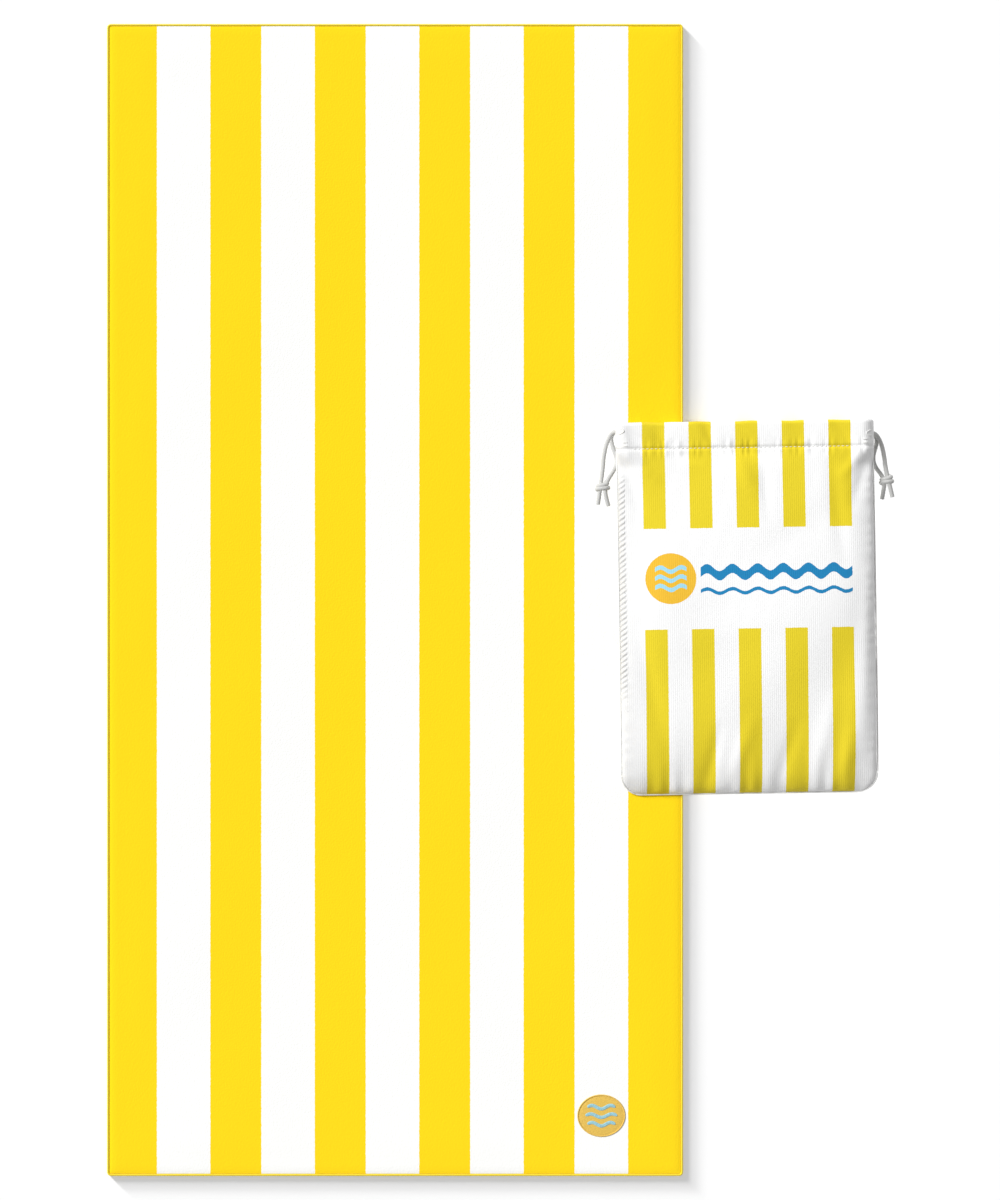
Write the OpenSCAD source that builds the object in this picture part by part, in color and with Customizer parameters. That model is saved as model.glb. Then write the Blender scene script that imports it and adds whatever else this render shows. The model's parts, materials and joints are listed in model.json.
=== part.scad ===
// Striped beach towel laid out flat, with its drawstring carry pouch lying
// across the long right-hand edge. Millimetres, +Z up. The origin is the
// centre of the towel's underside, +Y runs along the towel's length and the
// pouch lies on the +X side.

/* [Towel] */
// Width of the towel over its stitched edges
towel_w = 800; // [600:10:1000]
// Length of the towel over its stitched edges
towel_l = 1600; // [1200:10:2000]
// Thickness of the base cloth that carries the pile
base_t = 1.2; // [0.6:0.1:2]
// Thickness of the coloured pile on the base cloth
pile_t = 1.2; // [0.6:0.1:3]
// Width of each yellow stripe between two white ones
yellow_w = 70.7; // [40:0.1:110]
// Width of each white stripe
white_w = 74.3; // [40:0.1:110]
// Sideways shift of the stripe pattern from the towel's centre line
stripe_shift = -3.5; // [-10:0.1:10]
// Width of the overlocked thread along the towel's edges
edge_w = 3; // [2:0.1:5]
// Thickness of the overlocked edge
edge_t = 3.2; // [2.6:0.1:5]

/* [Badge] */
// Width of the embroidered badge
badge_w = 67; // [40:1:90]
// Height of the embroidered badge
badge_h = 59; // [40:1:80]
// Distance of the badge's centre from the towel's bottom edge
badge_up = 84; // [60:1:120]
// Height that the badge's ground stitching stands above the pile
badge_t = 1; // [0.5:0.1:2]
// Height that the badge's waves stand above its ground stitching
badge_wave_t = 0.6; // [0.3:0.1:1.5]

/* [Pouch] */
// Width of the pouch over its side seams
pouch_w = 358; // [240:1:430]
// Height of the pouch from its bottom seam to its mouth
pouch_h = 515; // [360:1:620]
// Distance of the pouch's centre line beyond the towel's edge
pouch_out = 88; // [60:1:140]
// Distance of the pouch's centre below the towel's cross line
pouch_down = 9.5; // [0:0.5:60]
// Turn of the pouch on the towel, counter-clockwise in degrees
pouch_turn = 0.9; // [0:0.1:1.5]
// Height of the pouch's back above the surface, where it lies on the towel
pouch_rest = 3.6; // [3.6:0.1:6]
// Gap between the pouch's back and the surface beside the towel
floor_gap = 0.2; // [0.2:0.1:1]
// Thickness of the pouch cloth
cloth_t = 1.1; // [0.8:0.1:1.4]
// Extra half thickness of the filled pouch at its middle
belly = 5.5; // [2:0.5:10]
// Radius of the pouch's bottom corners
corner_r = 27; // [15:1:40]
// Diameter of the sewn seams along the sides and the bottom
seam_d = 2.4; // [1.6:0.1:3]

/* [Drawstring] */
// Diameter of the drawcords
cord_d = 6; // [5:0.1:7]
// Clearance between a drawcord and the channel that it runs in
cord_gap = 0.4; // [0.3:0.1:0.8]
// Radius of the cord's middle where it turns back inside the mouth's ends
bight_r = 12.5; // [12:0.1:15]
// Height of the channel that is sewn round the mouth
casing_h = 38; // [34:1:50]
// Distance of the left drawcord below the mouth's rim
left_cord_down = 12; // [10:1:13]
// Distance of the right drawcord below the mouth's rim
right_cord_down = 20; // [20:1:27]
// Degrees that a knotted cord's front run follows the mouth's end before it leaves
exit_turn = 50; // [30:5:60]

/* [Print] */
// Width of each yellow bar on the pouch
bar_w = 31; // [20:0.5:40]
// Distance from one yellow bar to the next
bar_pitch = 64.3; // [50:0.1:75]
// Number of yellow bars side by side
bar_count = 5; // [3:2:5]
// Sideways shift of the bars from the pouch's centre line
bar_shift = 1.6; // [-5:0.1:5]
// Height of the plain band's lower edge above the bottom seam
band_low = 228; // [150:1:260]
// Height of the plain band across the pouch
band_h = 139; // [120:1:160]
// Radius of the round emblem
emblem_r = 35; // [20:1:40]
// Distance of the emblem's centre left of the pouch's centre line
emblem_left = 106; // [90:1:120]
// Height of the emblem's centre above the bottom seam
emblem_up = 298; // [240:1:320]
// Length of the wave bars beside the emblem
wave_l = 210; // [120:1:220]

/* [Hidden] */
$fn = 48;

yellow = "#FEDF18";
white = "#FDFDFB";
orange = "#F3C145";
pale_blue = "#9CD3DE";
blue = "#4E9CC6";
cord_white = "#F2F0EA";

towel_top = base_t + pile_t;
stripe_pitch = yellow_w + white_w;
pile_w = towel_w - 2*edge_w;
pile_l = towel_l - 2*edge_w;

// The pouch. Its own x runs across, its y up from the bottom seam.
casing_t = cord_d + 2*(cord_gap + cloth_t);
mouth_r = bight_r + casing_t/2;
inner_r = bight_r - casing_t/2;
channel_r = cord_d/2 + cord_gap;
channel_h = casing_h - 2*2;
straight = pouch_w/2 - mouth_r;
cloth_half = pouch_w/2 - seam_d - 0.1;
body_h = pouch_h - casing_h;
mouth_z = pouch_rest + mouth_r;
joint_gap = 0.3;
exit_u = pouch_w/2;
// How far a cord's front run goes on, straight, from the end of its turn to the sleeve's outside
exit_run = sqrt(mouth_r*mouth_r - bight_r*bight_r);
back_exit_u = exit_u - 5;
pouch_x = towel_w/2 + pouch_out;
pouch_y = -pouch_down;
// Where the pouch's back comes down from the towel to the surface beside it
drop_from = -pouch_out + pouch_h/2*sin(pouch_turn) + 8;
drop_run = 40;
drop = pouch_rest - floor_gap;
print_lift = 0.25;
print_t = 0.35;
inner_start = 3;
across = 20;
along = 22;

// Each route's points: outwards from the mouth's end, up the pouch, and up from
// the cord's own exit. The heights are stretched so that the route ends on what
// it rests on.
left_front_route = [[3.5, -1.5, -17.5], [7, -6, -20.3], [10.5, -13, -22.3], [13.5, -22, -23.6], [16, -34, -24.3],
    [17.3, -46, -24.4], [18.6, -57, -24], [20, -67, -23.5], [21.5, -76, -23.5], [23, -87, -25], [25, -100, -27.4]];
left_back_route = [[1.8, -1.3, -0.5], [4.6, -5, -1], [5.4, -10.5, -1.8], [4, -18.5, -2.1], [0.8, -28, -2.1],
    [-2, -38, -2.1], [-0.6, -47.5, -2.1], [4.5, -56.5, -1.6], [10, -65, 0], [14.5, -76, 1.5], [14, -88, 0],
    [10.5, -102.5, -2.4]];
right_front_route = [[3.5, -1.5, -17.8], [7, -6, -21.2], [10.5, -13, -23.8], [13.3, -22, -25.5], [15.3, -33, -26.3],
    [16.5, -44, -26.4], [18.3, -54.5, -26.1], [20.5, -65, -26], [23, -75, -27.5], [26, -88, -29.8]];
right_back_route = [[1.8, -1.3, -0.8], [4.6, -5, -2], [5.4, -10.5, -3.6], [4, -18.5, -4.6], [1, -28, -4.8],
    [0.4, -38, -4.8], [4, -47.5, -4.4], [9.5, -55.5, -2.6], [14.5, -65, -1], [14, -76, -2.8], [11.5, -91, -4.8]];
left_knot = [18, -76, -23.5];
right_knot = [18, -65, -26];
left_rest = towel_top + cord_d/2 + 0.3;
right_rest = cord_d/2 + 0.3;

function smooth(x) = let (s = max(0, min(1, x))) s*s*(3 - 2*s);
function unit(v) = v/norm(v);
function flat_list(rows) = [for (row = rows) each row];
function exit_z(side) = mouth_z + side*bight_r;
// How much a route's heights are stretched, for a cord that ends at height rest
function stretch(route, side, rest) = (rest - exit_z(side))/route[len(route) - 1][2];

// Half thickness of the filled pouch at height v: round at the bottom seam,
// fullest halfway, and the mouth's own radius at the casing
function half_thick(v) = let (s = max(0, min(1, v/body_h))) (mouth_r + belly*sin(180*s))*sqrt(1 - pow(1 - s, 8));
// Half width at height v, with round bottom corners
function half_width(v) = v < corner_r ? cloth_half - corner_r + sqrt(corner_r*corner_r - pow(corner_r - v, 2))
    : cloth_half;
function seam_z(v) = pouch_rest + half_thick(v);
// How full the pouch is at distance u from its centre line
function fullness(u, v) = sqrt(max(0, 1 - pow(abs(u)/half_width(v), 5)));
function front_z(u, v) = v > body_h ? mouth_z + mouth_r : seam_z(v) + half_thick(v)*fullness(u, v);
// How far the back hangs below its plain shape, beside the towel
function back_drop(u, v) = drop*smooth((u - drop_from)/drop_run)*sqrt(1 - pow(1 - v/body_h, 8));
// One point of a cloth panel, at angle a round its section and height v
function panel_point(side, a, v, inset) =
    let (c = cos(a), u = sign(c)*pow(abs(c), 0.4)*(half_width(v) - inset),
        t = half_thick(v) - inset + (side < 0 ? back_drop(u, v) : 0))
    [u, v, seam_z(v) + side*t*sin(a)];
// Height of a panel's row i, with the rows closest together at the bottom
function row_height(start, i) = start + (body_h - start)*pow(i/along, 1.6);
function panel_rows(side, start, inset) = [for (i = [0:along]) [for (j = [0:across])
    panel_point(side, 180 - 180*j/across, row_height(start, i), inset)]];

// Triangles of a slab between two grids of points with r rows and c columns
function slab_faces(r, c) = let (n = r*c) flat_list([
    for (i = [0:r - 2], j = [0:c - 2]) let (a = i*c + j, b = a + c)
        [[a, b, b + 1], [a, b + 1, a + 1], [n + a, n + b + 1, n + b], [n + a, n + a + 1, n + b + 1]],
    for (j = [0:c - 2]) let (k = (r - 1)*c + j)
        [[j, j + 1, n + j + 1], [j, n + j + 1, n + j], [k + 1, k, n + k], [k + 1, n + k, n + k + 1]],
    for (i = [0:r - 2]) let (a = i*c, b = a + c - 1)
        [[a + c, a, n + a], [a + c, n + a, n + a + c], [b, b + c, n + b + c], [b, n + b + c, n + b]]]);

module slab(upper, lower) {
    polyhedron(points = concat(flat_list(upper), flat_list(lower)),
        faces = slab_faces(len(upper), len(upper[0])), convexity = 4);
}

// A round tube through the points, with a ring at each of them
module tube(points, d, sides) {
    n = len(points);
    rings = [for (i = [0:n - 1])
        let (t = unit(points[min(i + 1, n - 1)] - points[max(i - 1, 0)]), side = unit(cross(t, [0, 0, 1])),
            up = cross(side, t))
        [for (j = [0:sides - 1]) points[i] + d/2*(cos(360*j/sides)*side + sin(360*j/sides)*up)]];
    walls = [for (i = [0:n - 2], j = [0:sides - 1]) let (a = i*sides + j, b = i*sides + (j + 1)%sides)
        each [[a, b, b + sides], [a, b + sides, a + sides]]];
    caps = [[for (j = [sides - 1:-1:0]) j], [for (j = [0:sides - 1]) (n - 1)*sides + j]];
    polyhedron(points = flat_list(rings), faces = concat(walls, caps), convexity = 6);
}

// A print on the pouch's front, over a grid given by its u and v values
module print_patch(grid) {
    slab([for (row = grid) [for (p = row) [p[0], p[1], front_z(p[0], p[1]) + print_lift + print_t]]],
        [for (row = grid) [for (p = row) [p[0], p[1], front_z(p[0], p[1]) + print_lift]]]);
}

// The yellow bars from height v0 to v1, with the panel's own rows between them
module print_bars(v0, v1) {
    half_count = (bar_count - 1)/2;
    heights = concat([v0], [for (i = [0:along]) let (v = row_height(0, i)) if (v > v0 + 1 && v < v1 - 1) v], [v1]);
    for (k = [-half_count:half_count]) {
        mid = bar_shift + k*bar_pitch;
        print_patch([for (v = heights) [for (j = [0:4]) [mid + (j/4 - 0.5)*bar_w, v]]]);
    }
}

// A wavy ribbon on the pouch's front
module print_wave(u0, u1, v, thick, swing, waves, steps) {
    print_patch([for (side = [-0.5, 0, 0.5]) [for (j = [0:steps])
        [u0 + (u1 - u0)*j/steps, v + side*thick + swing*sin(360*waves*j/steps)]]]);
}

module on_pouch() {
    translate([pouch_x, pouch_y, 0]) rotate([0, 0, pouch_turn]) translate([0, -pouch_h/2, 0]) children();
}

// ---- towel ----
module towel_base() {
    color(white) translate([-pile_w/2, -pile_l/2, 0]) cube([pile_w, pile_l, base_t]);
}

// White stripes that fit whole on the towel, counted from the middle one
white_each_side = floor((pile_w/2 - abs(stripe_shift) - white_w/2 - edge_w)/stripe_pitch);

module pile_strip(x0, x1) {
    translate([x0, -pile_l/2, base_t]) cube([x1 - x0, pile_l, pile_t]);
}

module towel_pile_white() {
    color(white) for (k = [-white_each_side:white_each_side])
        pile_strip(stripe_shift + k*stripe_pitch - white_w/2, stripe_shift + k*stripe_pitch + white_w/2);
}

module towel_pile_yellow() {
    outer = white_each_side*stripe_pitch + white_w/2;
    color(yellow) {
        pile_strip(-pile_w/2, stripe_shift - outer);
        pile_strip(stripe_shift + outer, pile_w/2);
        for (k = [-white_each_side:white_each_side - 1])
            pile_strip(stripe_shift + k*stripe_pitch + white_w/2, stripe_shift + (k + 1)*stripe_pitch - white_w/2);
    }
}

// Four runs of overlocking, which meet at the corners with a hair between them
module towel_edge_thread() {
    hair = 0.1;
    color(yellow) for (s = [-1, 1]) {
        translate([s*(towel_w - edge_w)/2 - edge_w/2, -towel_l/2, 0]) cube([edge_w, towel_l, edge_t]);
        translate([hair - pile_w/2, s*(towel_l - edge_w)/2 - edge_w/2, 0]) cube([pile_w - 2*hair, edge_w, edge_t]);
    }
}

// The badge sits on the middle of the last white stripe
module on_badge() {
    translate([stripe_shift + white_each_side*stripe_pitch, badge_up - towel_l/2, 0]) children();
}

module badge_ground() {
    color(orange) on_badge() translate([0, 0, towel_top]) linear_extrude(badge_t)
        polygon([for (a = [0:7.5:352.5]) [badge_w/2*cos(a), badge_h/2*sin(a)]]);
}

module flat_wave(length, thick, swing) {
    steps = 20;
    polygon(concat([for (j = [0:steps]) [length*(j/steps - 0.5), swing*sin(540*j/steps) - thick/2]],
        [for (j = [steps:-1:0]) [length*(j/steps - 0.5), swing*sin(540*j/steps) + thick/2]]));
}

module badge_waves() {
    color(pale_blue) on_badge() translate([0, 0, towel_top + badge_t]) linear_extrude(badge_wave_t)
        for (k = [-1:1]) translate([0, k*badge_h*0.2]) flat_wave(badge_w*(0.66 - 0.08*abs(k)), 4.2, 2.4);
}

// ---- pouch cloth ----
module pouch_front() {
    color(white) on_pouch() slab(panel_rows(1, 0, 0), panel_rows(1, inner_start, cloth_t));
}

module pouch_back() {
    color(white) on_pouch() slab(panel_rows(-1, inner_start, cloth_t), panel_rows(-1, 0, 0));
}

// One straight sleeve of the mouth's channel, with its underside at height z
module sleeve(z, foot) {
    difference() {
        union() {
            translate([joint_gap - straight, body_h, z]) cube([2*(straight - joint_gap), casing_h, casing_t]);
            if (foot > 0) translate([drop_from + drop_run, body_h, z - foot])
                cube([straight - joint_gap - drop_from - drop_run, casing_h, foot + casing_t]);
        }
        translate([-straight, body_h + (casing_h - channel_h)/2, z + cloth_t])
            cube([2*straight, channel_h, casing_t - 2*cloth_t]);
    }
}

module casing_front() {
    color(white) on_pouch() sleeve(mouth_z + inner_r, 0);
}

module casing_back() {
    color(white) on_pouch() sleeve(pouch_rest, drop);
}

// A turn round the mouth's end from its front, of a section given as radius and height up the pouch
module end_turn(angle = 180) {
    translate([straight, 0, mouth_z]) rotate([-90, 0, 0]) rotate([0, 0, -90]) rotate_extrude(angle = angle) children();
}

// The sleeve round one end of the mouth. The knotted cord's back run leaves it straight, and
// its front run part of the way round, through a slit that lets the bend slide out. The other
// cord turns back inside it.
module casing_end(cord_down) {
    v = pouch_h - cord_down;
    slit_end = bight_r*cos(exit_turn) - exit_run*sin(exit_turn) - channel_r;
    difference() {
        end_turn() translate([inner_r, body_h]) square([casing_t, casing_h]);
        end_turn() translate([bight_r - channel_r, body_h + (casing_h - channel_h)/2])
            square([2*channel_r, channel_h]);
        translate([straight - 1, v, mouth_z - bight_r]) rotate([0, 90, 0]) cylinder(r = channel_r, h = mouth_r + 2);
        difference() {
            hull() for (z = [slit_end, bight_r]) translate([straight - 1, v, mouth_z + z])
                rotate([0, 90, 0]) cylinder(r = channel_r, h = mouth_r + 2);
            end_turn() translate([0, body_h - 1]) square([bight_r - channel_r, casing_h + 2]);
        }
    }
}

module casing_end_left() {
    color(white) on_pouch() mirror([1, 0, 0]) casing_end(left_cord_down);
}

module casing_end_right() {
    color(white) on_pouch() casing_end(right_cord_down);
}

// ---- sewing ----
module stitch_row(z) {
    length = 4;
    pitch = 6;
    thread = 0.8;
    count = floor((2*straight - 2*pitch)/pitch);
    for (k = [0:count - 1]) translate([(k - (count - 1)/2)*pitch - length/2, body_h + thread, z])
        rotate([0, 90, 0]) cylinder(d = thread, h = length, $fn = 24);
}

module casing_stitch_front() {
    color(yellow) on_pouch() stitch_row(mouth_z + mouth_r + print_lift + print_t + 0.5);
}

module casing_stitch_back() {
    color(white) on_pouch() stitch_row(pouch_rest + casing_t + 0.5);
}

module side_seam() {
    rows = 24;
    tube([for (i = [0:rows]) let (v = corner_r + (body_h - 3*joint_gap - corner_r)*i/rows)
        [half_width(v) + seam_d/2 + 0.1, v, seam_z(v)]], seam_d, 8);
}

module side_seam_left() {
    color(white) on_pouch() mirror([1, 0, 0]) side_seam();
}

module side_seam_right() {
    color(white) on_pouch() side_seam();
}

// Along the bottom, a little clear of the side seams' ends, and up round both corners
module bottom_seam() {
    r = corner_r + seam_d/2 + 0.1;
    u = cloth_half - corner_r;
    corner = [for (a = [4:8.6:90]) [u + r*cos(a), corner_r - r*sin(a)]];
    line = concat(corner, [for (k = [3:-1:-3]) [u*k/4, corner_r - r]],
        [for (k = [len(corner) - 1:-1:0]) [-corner[k][0], corner[k][1]]]);
    color(white) on_pouch() tube([for (p = line) [p[0], p[1], max(seam_z(max(p[1], 0)), pouch_rest + seam_d/2)]], seam_d, 8);
}

module bartack() {
    for (k = [0, 1]) translate([straight - 1, body_h + 4 + 5*k, mouth_z + mouth_r]) cube([6, 1.6, 0.8]);
}

module bartack_left() {
    color(yellow) on_pouch() mirror([1, 0, 0]) bartack();
}

module bartack_right() {
    color(yellow) on_pouch() bartack();
}

// ---- print ----
module bars_casing() {
    color(yellow) on_pouch() print_bars(body_h + 2.5, pouch_h - 0.5);
}

module bars_upper() {
    color(yellow) on_pouch() print_bars(band_low + band_h, body_h - 0.5);
}

module bars_lower() {
    color(yellow) on_pouch() print_bars(6, band_low);
}

module emblem_disc() {
    color(orange) on_pouch() print_patch([for (a = [-84:12:84]) [for (j = [0:8])
        [emblem_r*cos(a)*(j/4 - 1) - emblem_left, emblem_up + emblem_r*sin(a)]]]);
}

module emblem_waves() {
    half = emblem_r*0.62;
    color(pale_blue) on_pouch() translate([0, 0, print_t + 0.1]) for (k = [-1:1])
        print_wave(-emblem_left - half, half - emblem_left, emblem_up + k*emblem_r*0.36, 6, 3, 1.5, 18);
}

module wave_bars() {
    start = emblem_r + 6 - emblem_left;
    color(blue) on_pouch() {
        print_wave(start, start + wave_l, emblem_up + 8, 13, 5, 6, 72);
        print_wave(start, start + wave_l, emblem_up - 18, 5, 3, 6, 72);
    }
}

// ---- drawcords ----
// The stretch of a drawcord inside the channel: in at one end of the mouth, round the
// other end, and back. Drawn for a cord that is knotted at the left end.
module channel_cord(cord_down) {
    v = pouch_h - cord_down;
    for (leg = [[mouth_z + bight_r, straight], [mouth_z - bight_r, back_exit_u]])
        translate([-leg[1], v, leg[0]]) rotate([0, 90, 0]) cylinder(d = cord_d, h = leg[1] + straight);
    end_turn() translate([bight_r, v]) circle(d = cord_d);
    mirror([1, 0, 0]) end_turn(exit_turn) translate([bight_r, v]) circle(d = cord_d);
}

// A free stretch of cord, from inside its exit at the left end of the mouth. The front one
// starts along the tangent where the cord leaves the mouth's end.
module free_cord(route, cord_down, side, rest) {
    f = stretch(route, side, rest);
    lead = side < 0 ? [[-5, 0, 0], [-2.2, 0, 0]] : [for (t = [0, 0.34, 0.67, 1]) [bight_r*sin(exit_turn) - mouth_r
        + t*exit_run*cos(exit_turn), 0, bight_r*(cos(exit_turn) - 1) - t*exit_run*sin(exit_turn)]];
    tube([for (p = concat(lead, [for (p = route) [p[0], p[1], f*p[2]]]))
        [-exit_u - p[0], pouch_h - cord_down + p[1], exit_z(side) + p[2]]], cord_d, 10);
}

// The double overhand knot that ties both ends together, as a plain rounded lump
module knot(spot, cord_down, f) {
    lump = 12.4;
    translate([-exit_u - spot[0], pouch_h - cord_down + spot[1], exit_z(1) + f*spot[2]]) hull()
        for (x = [-4.2, 4.2], y = [-2.5, 2.5]) translate([x, y, 0]) sphere(d = lump, $fn = 24);
}

module drawcord_left() {
    color(cord_white) on_pouch() channel_cord(left_cord_down);
}

module cord_left_front() {
    color(cord_white) on_pouch() free_cord(left_front_route, left_cord_down, 1, left_rest);
}

module cord_left_back() {
    color(cord_white) on_pouch() free_cord(left_back_route, left_cord_down, -1, left_rest);
}

module knot_left() {
    color(cord_white) on_pouch() knot(left_knot, left_cord_down, stretch(left_front_route, 1, left_rest));
}

module drawcord_right() {
    color(cord_white) on_pouch() mirror([1, 0, 0]) channel_cord(right_cord_down);
}

module cord_right_front() {
    color(cord_white) on_pouch() mirror([1, 0, 0]) free_cord(right_front_route, right_cord_down, 1, right_rest);
}

module cord_right_back() {
    color(cord_white) on_pouch() mirror([1, 0, 0]) free_cord(right_back_route, right_cord_down, -1, right_rest);
}

module knot_right() {
    color(cord_white) on_pouch() mirror([1, 0, 0]) knot(right_knot, right_cord_down, stretch(right_front_route, 1, right_rest));
}

towel_base();
towel_pile_yellow();
towel_pile_white();
towel_edge_thread();
badge_ground();
badge_waves();
pouch_front();
pouch_back();
casing_front();
casing_back();
casing_end_left();
casing_end_right();
casing_stitch_front();
casing_stitch_back();
side_seam_left();
side_seam_right();
bottom_seam();
bartack_left();
bartack_right();
bars_casing();
bars_upper();
bars_lower();
emblem_disc();
emblem_waves();
wave_bars();
drawcord_left();
cord_left_front();
cord_left_back();
knot_left();
drawcord_right();
cord_right_front();
cord_right_back();
knot_right();
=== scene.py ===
"""Looks for a striped beach towel laid out flat, with its drawstring pouch across one long edge.

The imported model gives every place: the towel's sheet, its overlocked edge and its badge are built
round the towel's own nodes, and the pouch's cloth, seams and cords round the pouch's. Lengths are
in metres, and the pouch is worked out in its own flat frame: u across it, v up from its bottom
seam, and z above the floor.
"""

import json
import logging
import math
from dataclasses import dataclass, field
from enum import Enum

import bpy
import numpy as np
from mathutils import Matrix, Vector

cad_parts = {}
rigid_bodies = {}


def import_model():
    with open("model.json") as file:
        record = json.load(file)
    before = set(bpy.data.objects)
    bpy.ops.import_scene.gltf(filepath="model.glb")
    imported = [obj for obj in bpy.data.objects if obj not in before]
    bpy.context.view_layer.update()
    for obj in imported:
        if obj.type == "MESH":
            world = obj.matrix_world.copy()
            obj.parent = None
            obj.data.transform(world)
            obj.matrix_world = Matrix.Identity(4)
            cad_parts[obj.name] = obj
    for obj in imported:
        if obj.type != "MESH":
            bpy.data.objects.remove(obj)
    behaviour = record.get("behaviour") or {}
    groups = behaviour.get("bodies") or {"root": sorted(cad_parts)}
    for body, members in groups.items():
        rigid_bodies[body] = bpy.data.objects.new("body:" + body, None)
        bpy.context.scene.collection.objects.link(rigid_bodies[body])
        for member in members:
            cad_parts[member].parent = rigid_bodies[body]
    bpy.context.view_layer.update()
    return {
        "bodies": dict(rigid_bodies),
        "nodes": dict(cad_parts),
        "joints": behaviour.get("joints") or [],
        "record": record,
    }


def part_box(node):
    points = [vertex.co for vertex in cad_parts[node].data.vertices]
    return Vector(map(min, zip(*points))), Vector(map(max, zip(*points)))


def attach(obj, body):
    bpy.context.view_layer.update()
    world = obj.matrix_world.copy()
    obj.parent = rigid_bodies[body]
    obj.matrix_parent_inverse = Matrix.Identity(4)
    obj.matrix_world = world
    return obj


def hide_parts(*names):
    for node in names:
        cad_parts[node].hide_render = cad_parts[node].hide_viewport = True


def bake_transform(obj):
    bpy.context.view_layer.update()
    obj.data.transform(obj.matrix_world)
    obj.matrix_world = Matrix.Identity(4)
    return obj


LOG = logging.getLogger("beach_towel")
MM = 0.001
TAU = 2 * math.pi
UPWARDS = np.array([0, 0, 1.0])


class Side(Enum):
    """The two ends of the pouch's mouth, by their sign along u."""

    LEFT = -1
    RIGHT = 1

    @property
    def word(self) -> str:
        """The side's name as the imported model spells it."""
        return self.name.lower()


# ---------------------------------------------------------------- numbers, grids and meshes


def linear(code: str) -> tuple[float, float, float, float]:
    """Turns an sRGB hex colour such as "#FFDE16" into linear red, green and blue, and alpha 1."""
    parts = [int(code[i : i + 2], 16) / 255 for i in (1, 3, 5)]
    return (*[p / 12.92 if p <= 0.04045 else ((p + 0.055) / 1.055) ** 2.4 for p in parts], 1.0)


def smooth(x: np.ndarray) -> np.ndarray:
    """Eases from 0 at x = 0 to 1 at x = 1, as 3x^2 - 2x^3, and stays there outside."""
    x = np.clip(x, 0, 1)
    return x * x * (3 - 2 * x)


def unit(vectors: np.ndarray) -> np.ndarray:
    """The same vectors at length 1, along the last axis."""
    return vectors / np.maximum(np.linalg.norm(vectors, axis=-1, keepdims=True), 1e-12)


def grid_quads(
    rows: int, cols: int, round_rows: bool = False, round_cols: bool = False
) -> np.ndarray:
    """Makes the faces of a grid of points numbered row by row.

    Args:
        rows: Number of rows.
        cols: Number of points in a row.
        round_rows: Whether the last row joins the first.
        round_cols: Whether each row closes on itself.

    Returns:
        Four point numbers a face.
    """
    i = np.arange(rows if round_rows else rows - 1)[:, None]
    j = np.arange(cols if round_cols else cols - 1)[None, :]
    low, high = (i % rows) * cols, ((i + 1) % rows) * cols
    corners = [low + j % cols, low + (j + 1) % cols, high + (j + 1) % cols, high + j % cols]
    return np.stack(corners, -1).reshape(-1, 4)


def grid_normals(points: np.ndarray) -> np.ndarray:
    """Unit normals of a grid: its step along a row crossed with its step from row to row."""
    return unit(np.cross(np.gradient(points, axis=1), np.gradient(points, axis=0)))


@dataclass
class Surface:
    """Points, faces and what goes with each point, ready to become a mesh."""

    points: np.ndarray
    quads: np.ndarray
    uv: np.ndarray
    normals: np.ndarray | None = None
    marks: dict[str, np.ndarray] | None = None

    def piece(self, name: str, material: bpy.types.Material) -> bpy.types.Object:
        """Makes the mesh object, with its place in its mesh.

        Args:
            name: The piece's name.
            material: Its finish.

        Returns:
            The new object, linked into the scene.
        """
        mesh = bpy.data.meshes.new(name)
        mesh.vertices.add(len(self.points))
        mesh.vertices.foreach_set("co", self.points.astype(np.float32).ravel())
        mesh.loops.add(self.quads.size)
        mesh.loops.foreach_set("vertex_index", self.quads.astype(np.int32).ravel())
        mesh.polygons.add(len(self.quads))
        mesh.polygons.foreach_set("loop_start", np.arange(0, self.quads.size, 4, dtype=np.int32))
        mesh.update(calc_edges=True)
        mesh.shade_smooth()
        layer = mesh.uv_layers.new(name="cloth")
        layer.data.foreach_set("uv", self.uv[self.quads].astype(np.float32).ravel())
        for mark, values in (self.marks or {}).items():
            data = mesh.attributes.new(mark, "FLOAT", "POINT").data
            data.foreach_set("value", values.astype(np.float32))
        if self.normals is not None:
            mesh.normals_split_custom_set_from_vertices(self.normals.astype(np.float32))
        mesh.materials.append(material)
        made = bpy.data.objects.new(name, mesh)
        bpy.context.scene.collection.objects.link(made)
        LOG.info("%s: %d faces", name, len(mesh.polygons))
        return made


def slab(
    upper: np.ndarray, lower: np.ndarray, uv: np.ndarray, normals: np.ndarray | None = None
) -> Surface:
    """A closed surface between two grids of points, one above and one below, and a wall round both.

    Args:
        upper: Rows by columns by 3.
        lower: The same shape, on the other side.
        uv: Rows by columns by 2, the place on the cloth.
        normals: Normals of the upper grid, turned round for the lower, or None to work them out.

    Returns:
        The closed surface, with its lower side marked "inside".
    """
    rows, cols = upper.shape[:2]
    count = rows * cols
    faces = grid_quads(rows, cols)
    number = np.arange(count).reshape(rows, cols)
    rim = np.concatenate([number[0, :-1], number[:-1, -1], number[-1, :0:-1], number[:0:-1, 0]])
    nxt = np.roll(rim, -1)
    wall = np.stack([nxt, rim, rim + count, nxt + count], -1)
    if normals is not None:
        normals = np.concatenate([normals.reshape(-1, 3), -normals.reshape(-1, 3)])
    return Surface(
        np.concatenate([upper.reshape(-1, 3), lower.reshape(-1, 3)]),
        np.concatenate([faces, faces[:, ::-1] + count, wall]),
        np.tile(uv.reshape(-1, 2), (2, 1)),
        normals,
        {"inside": np.repeat([0.0, 1.0], count)},
    )


def travelled(points: np.ndarray) -> np.ndarray:
    """Distance along a line of points, at each of them."""
    return np.concatenate([[0], np.cumsum(np.linalg.norm(np.diff(points, axis=0), axis=1))])


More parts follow.
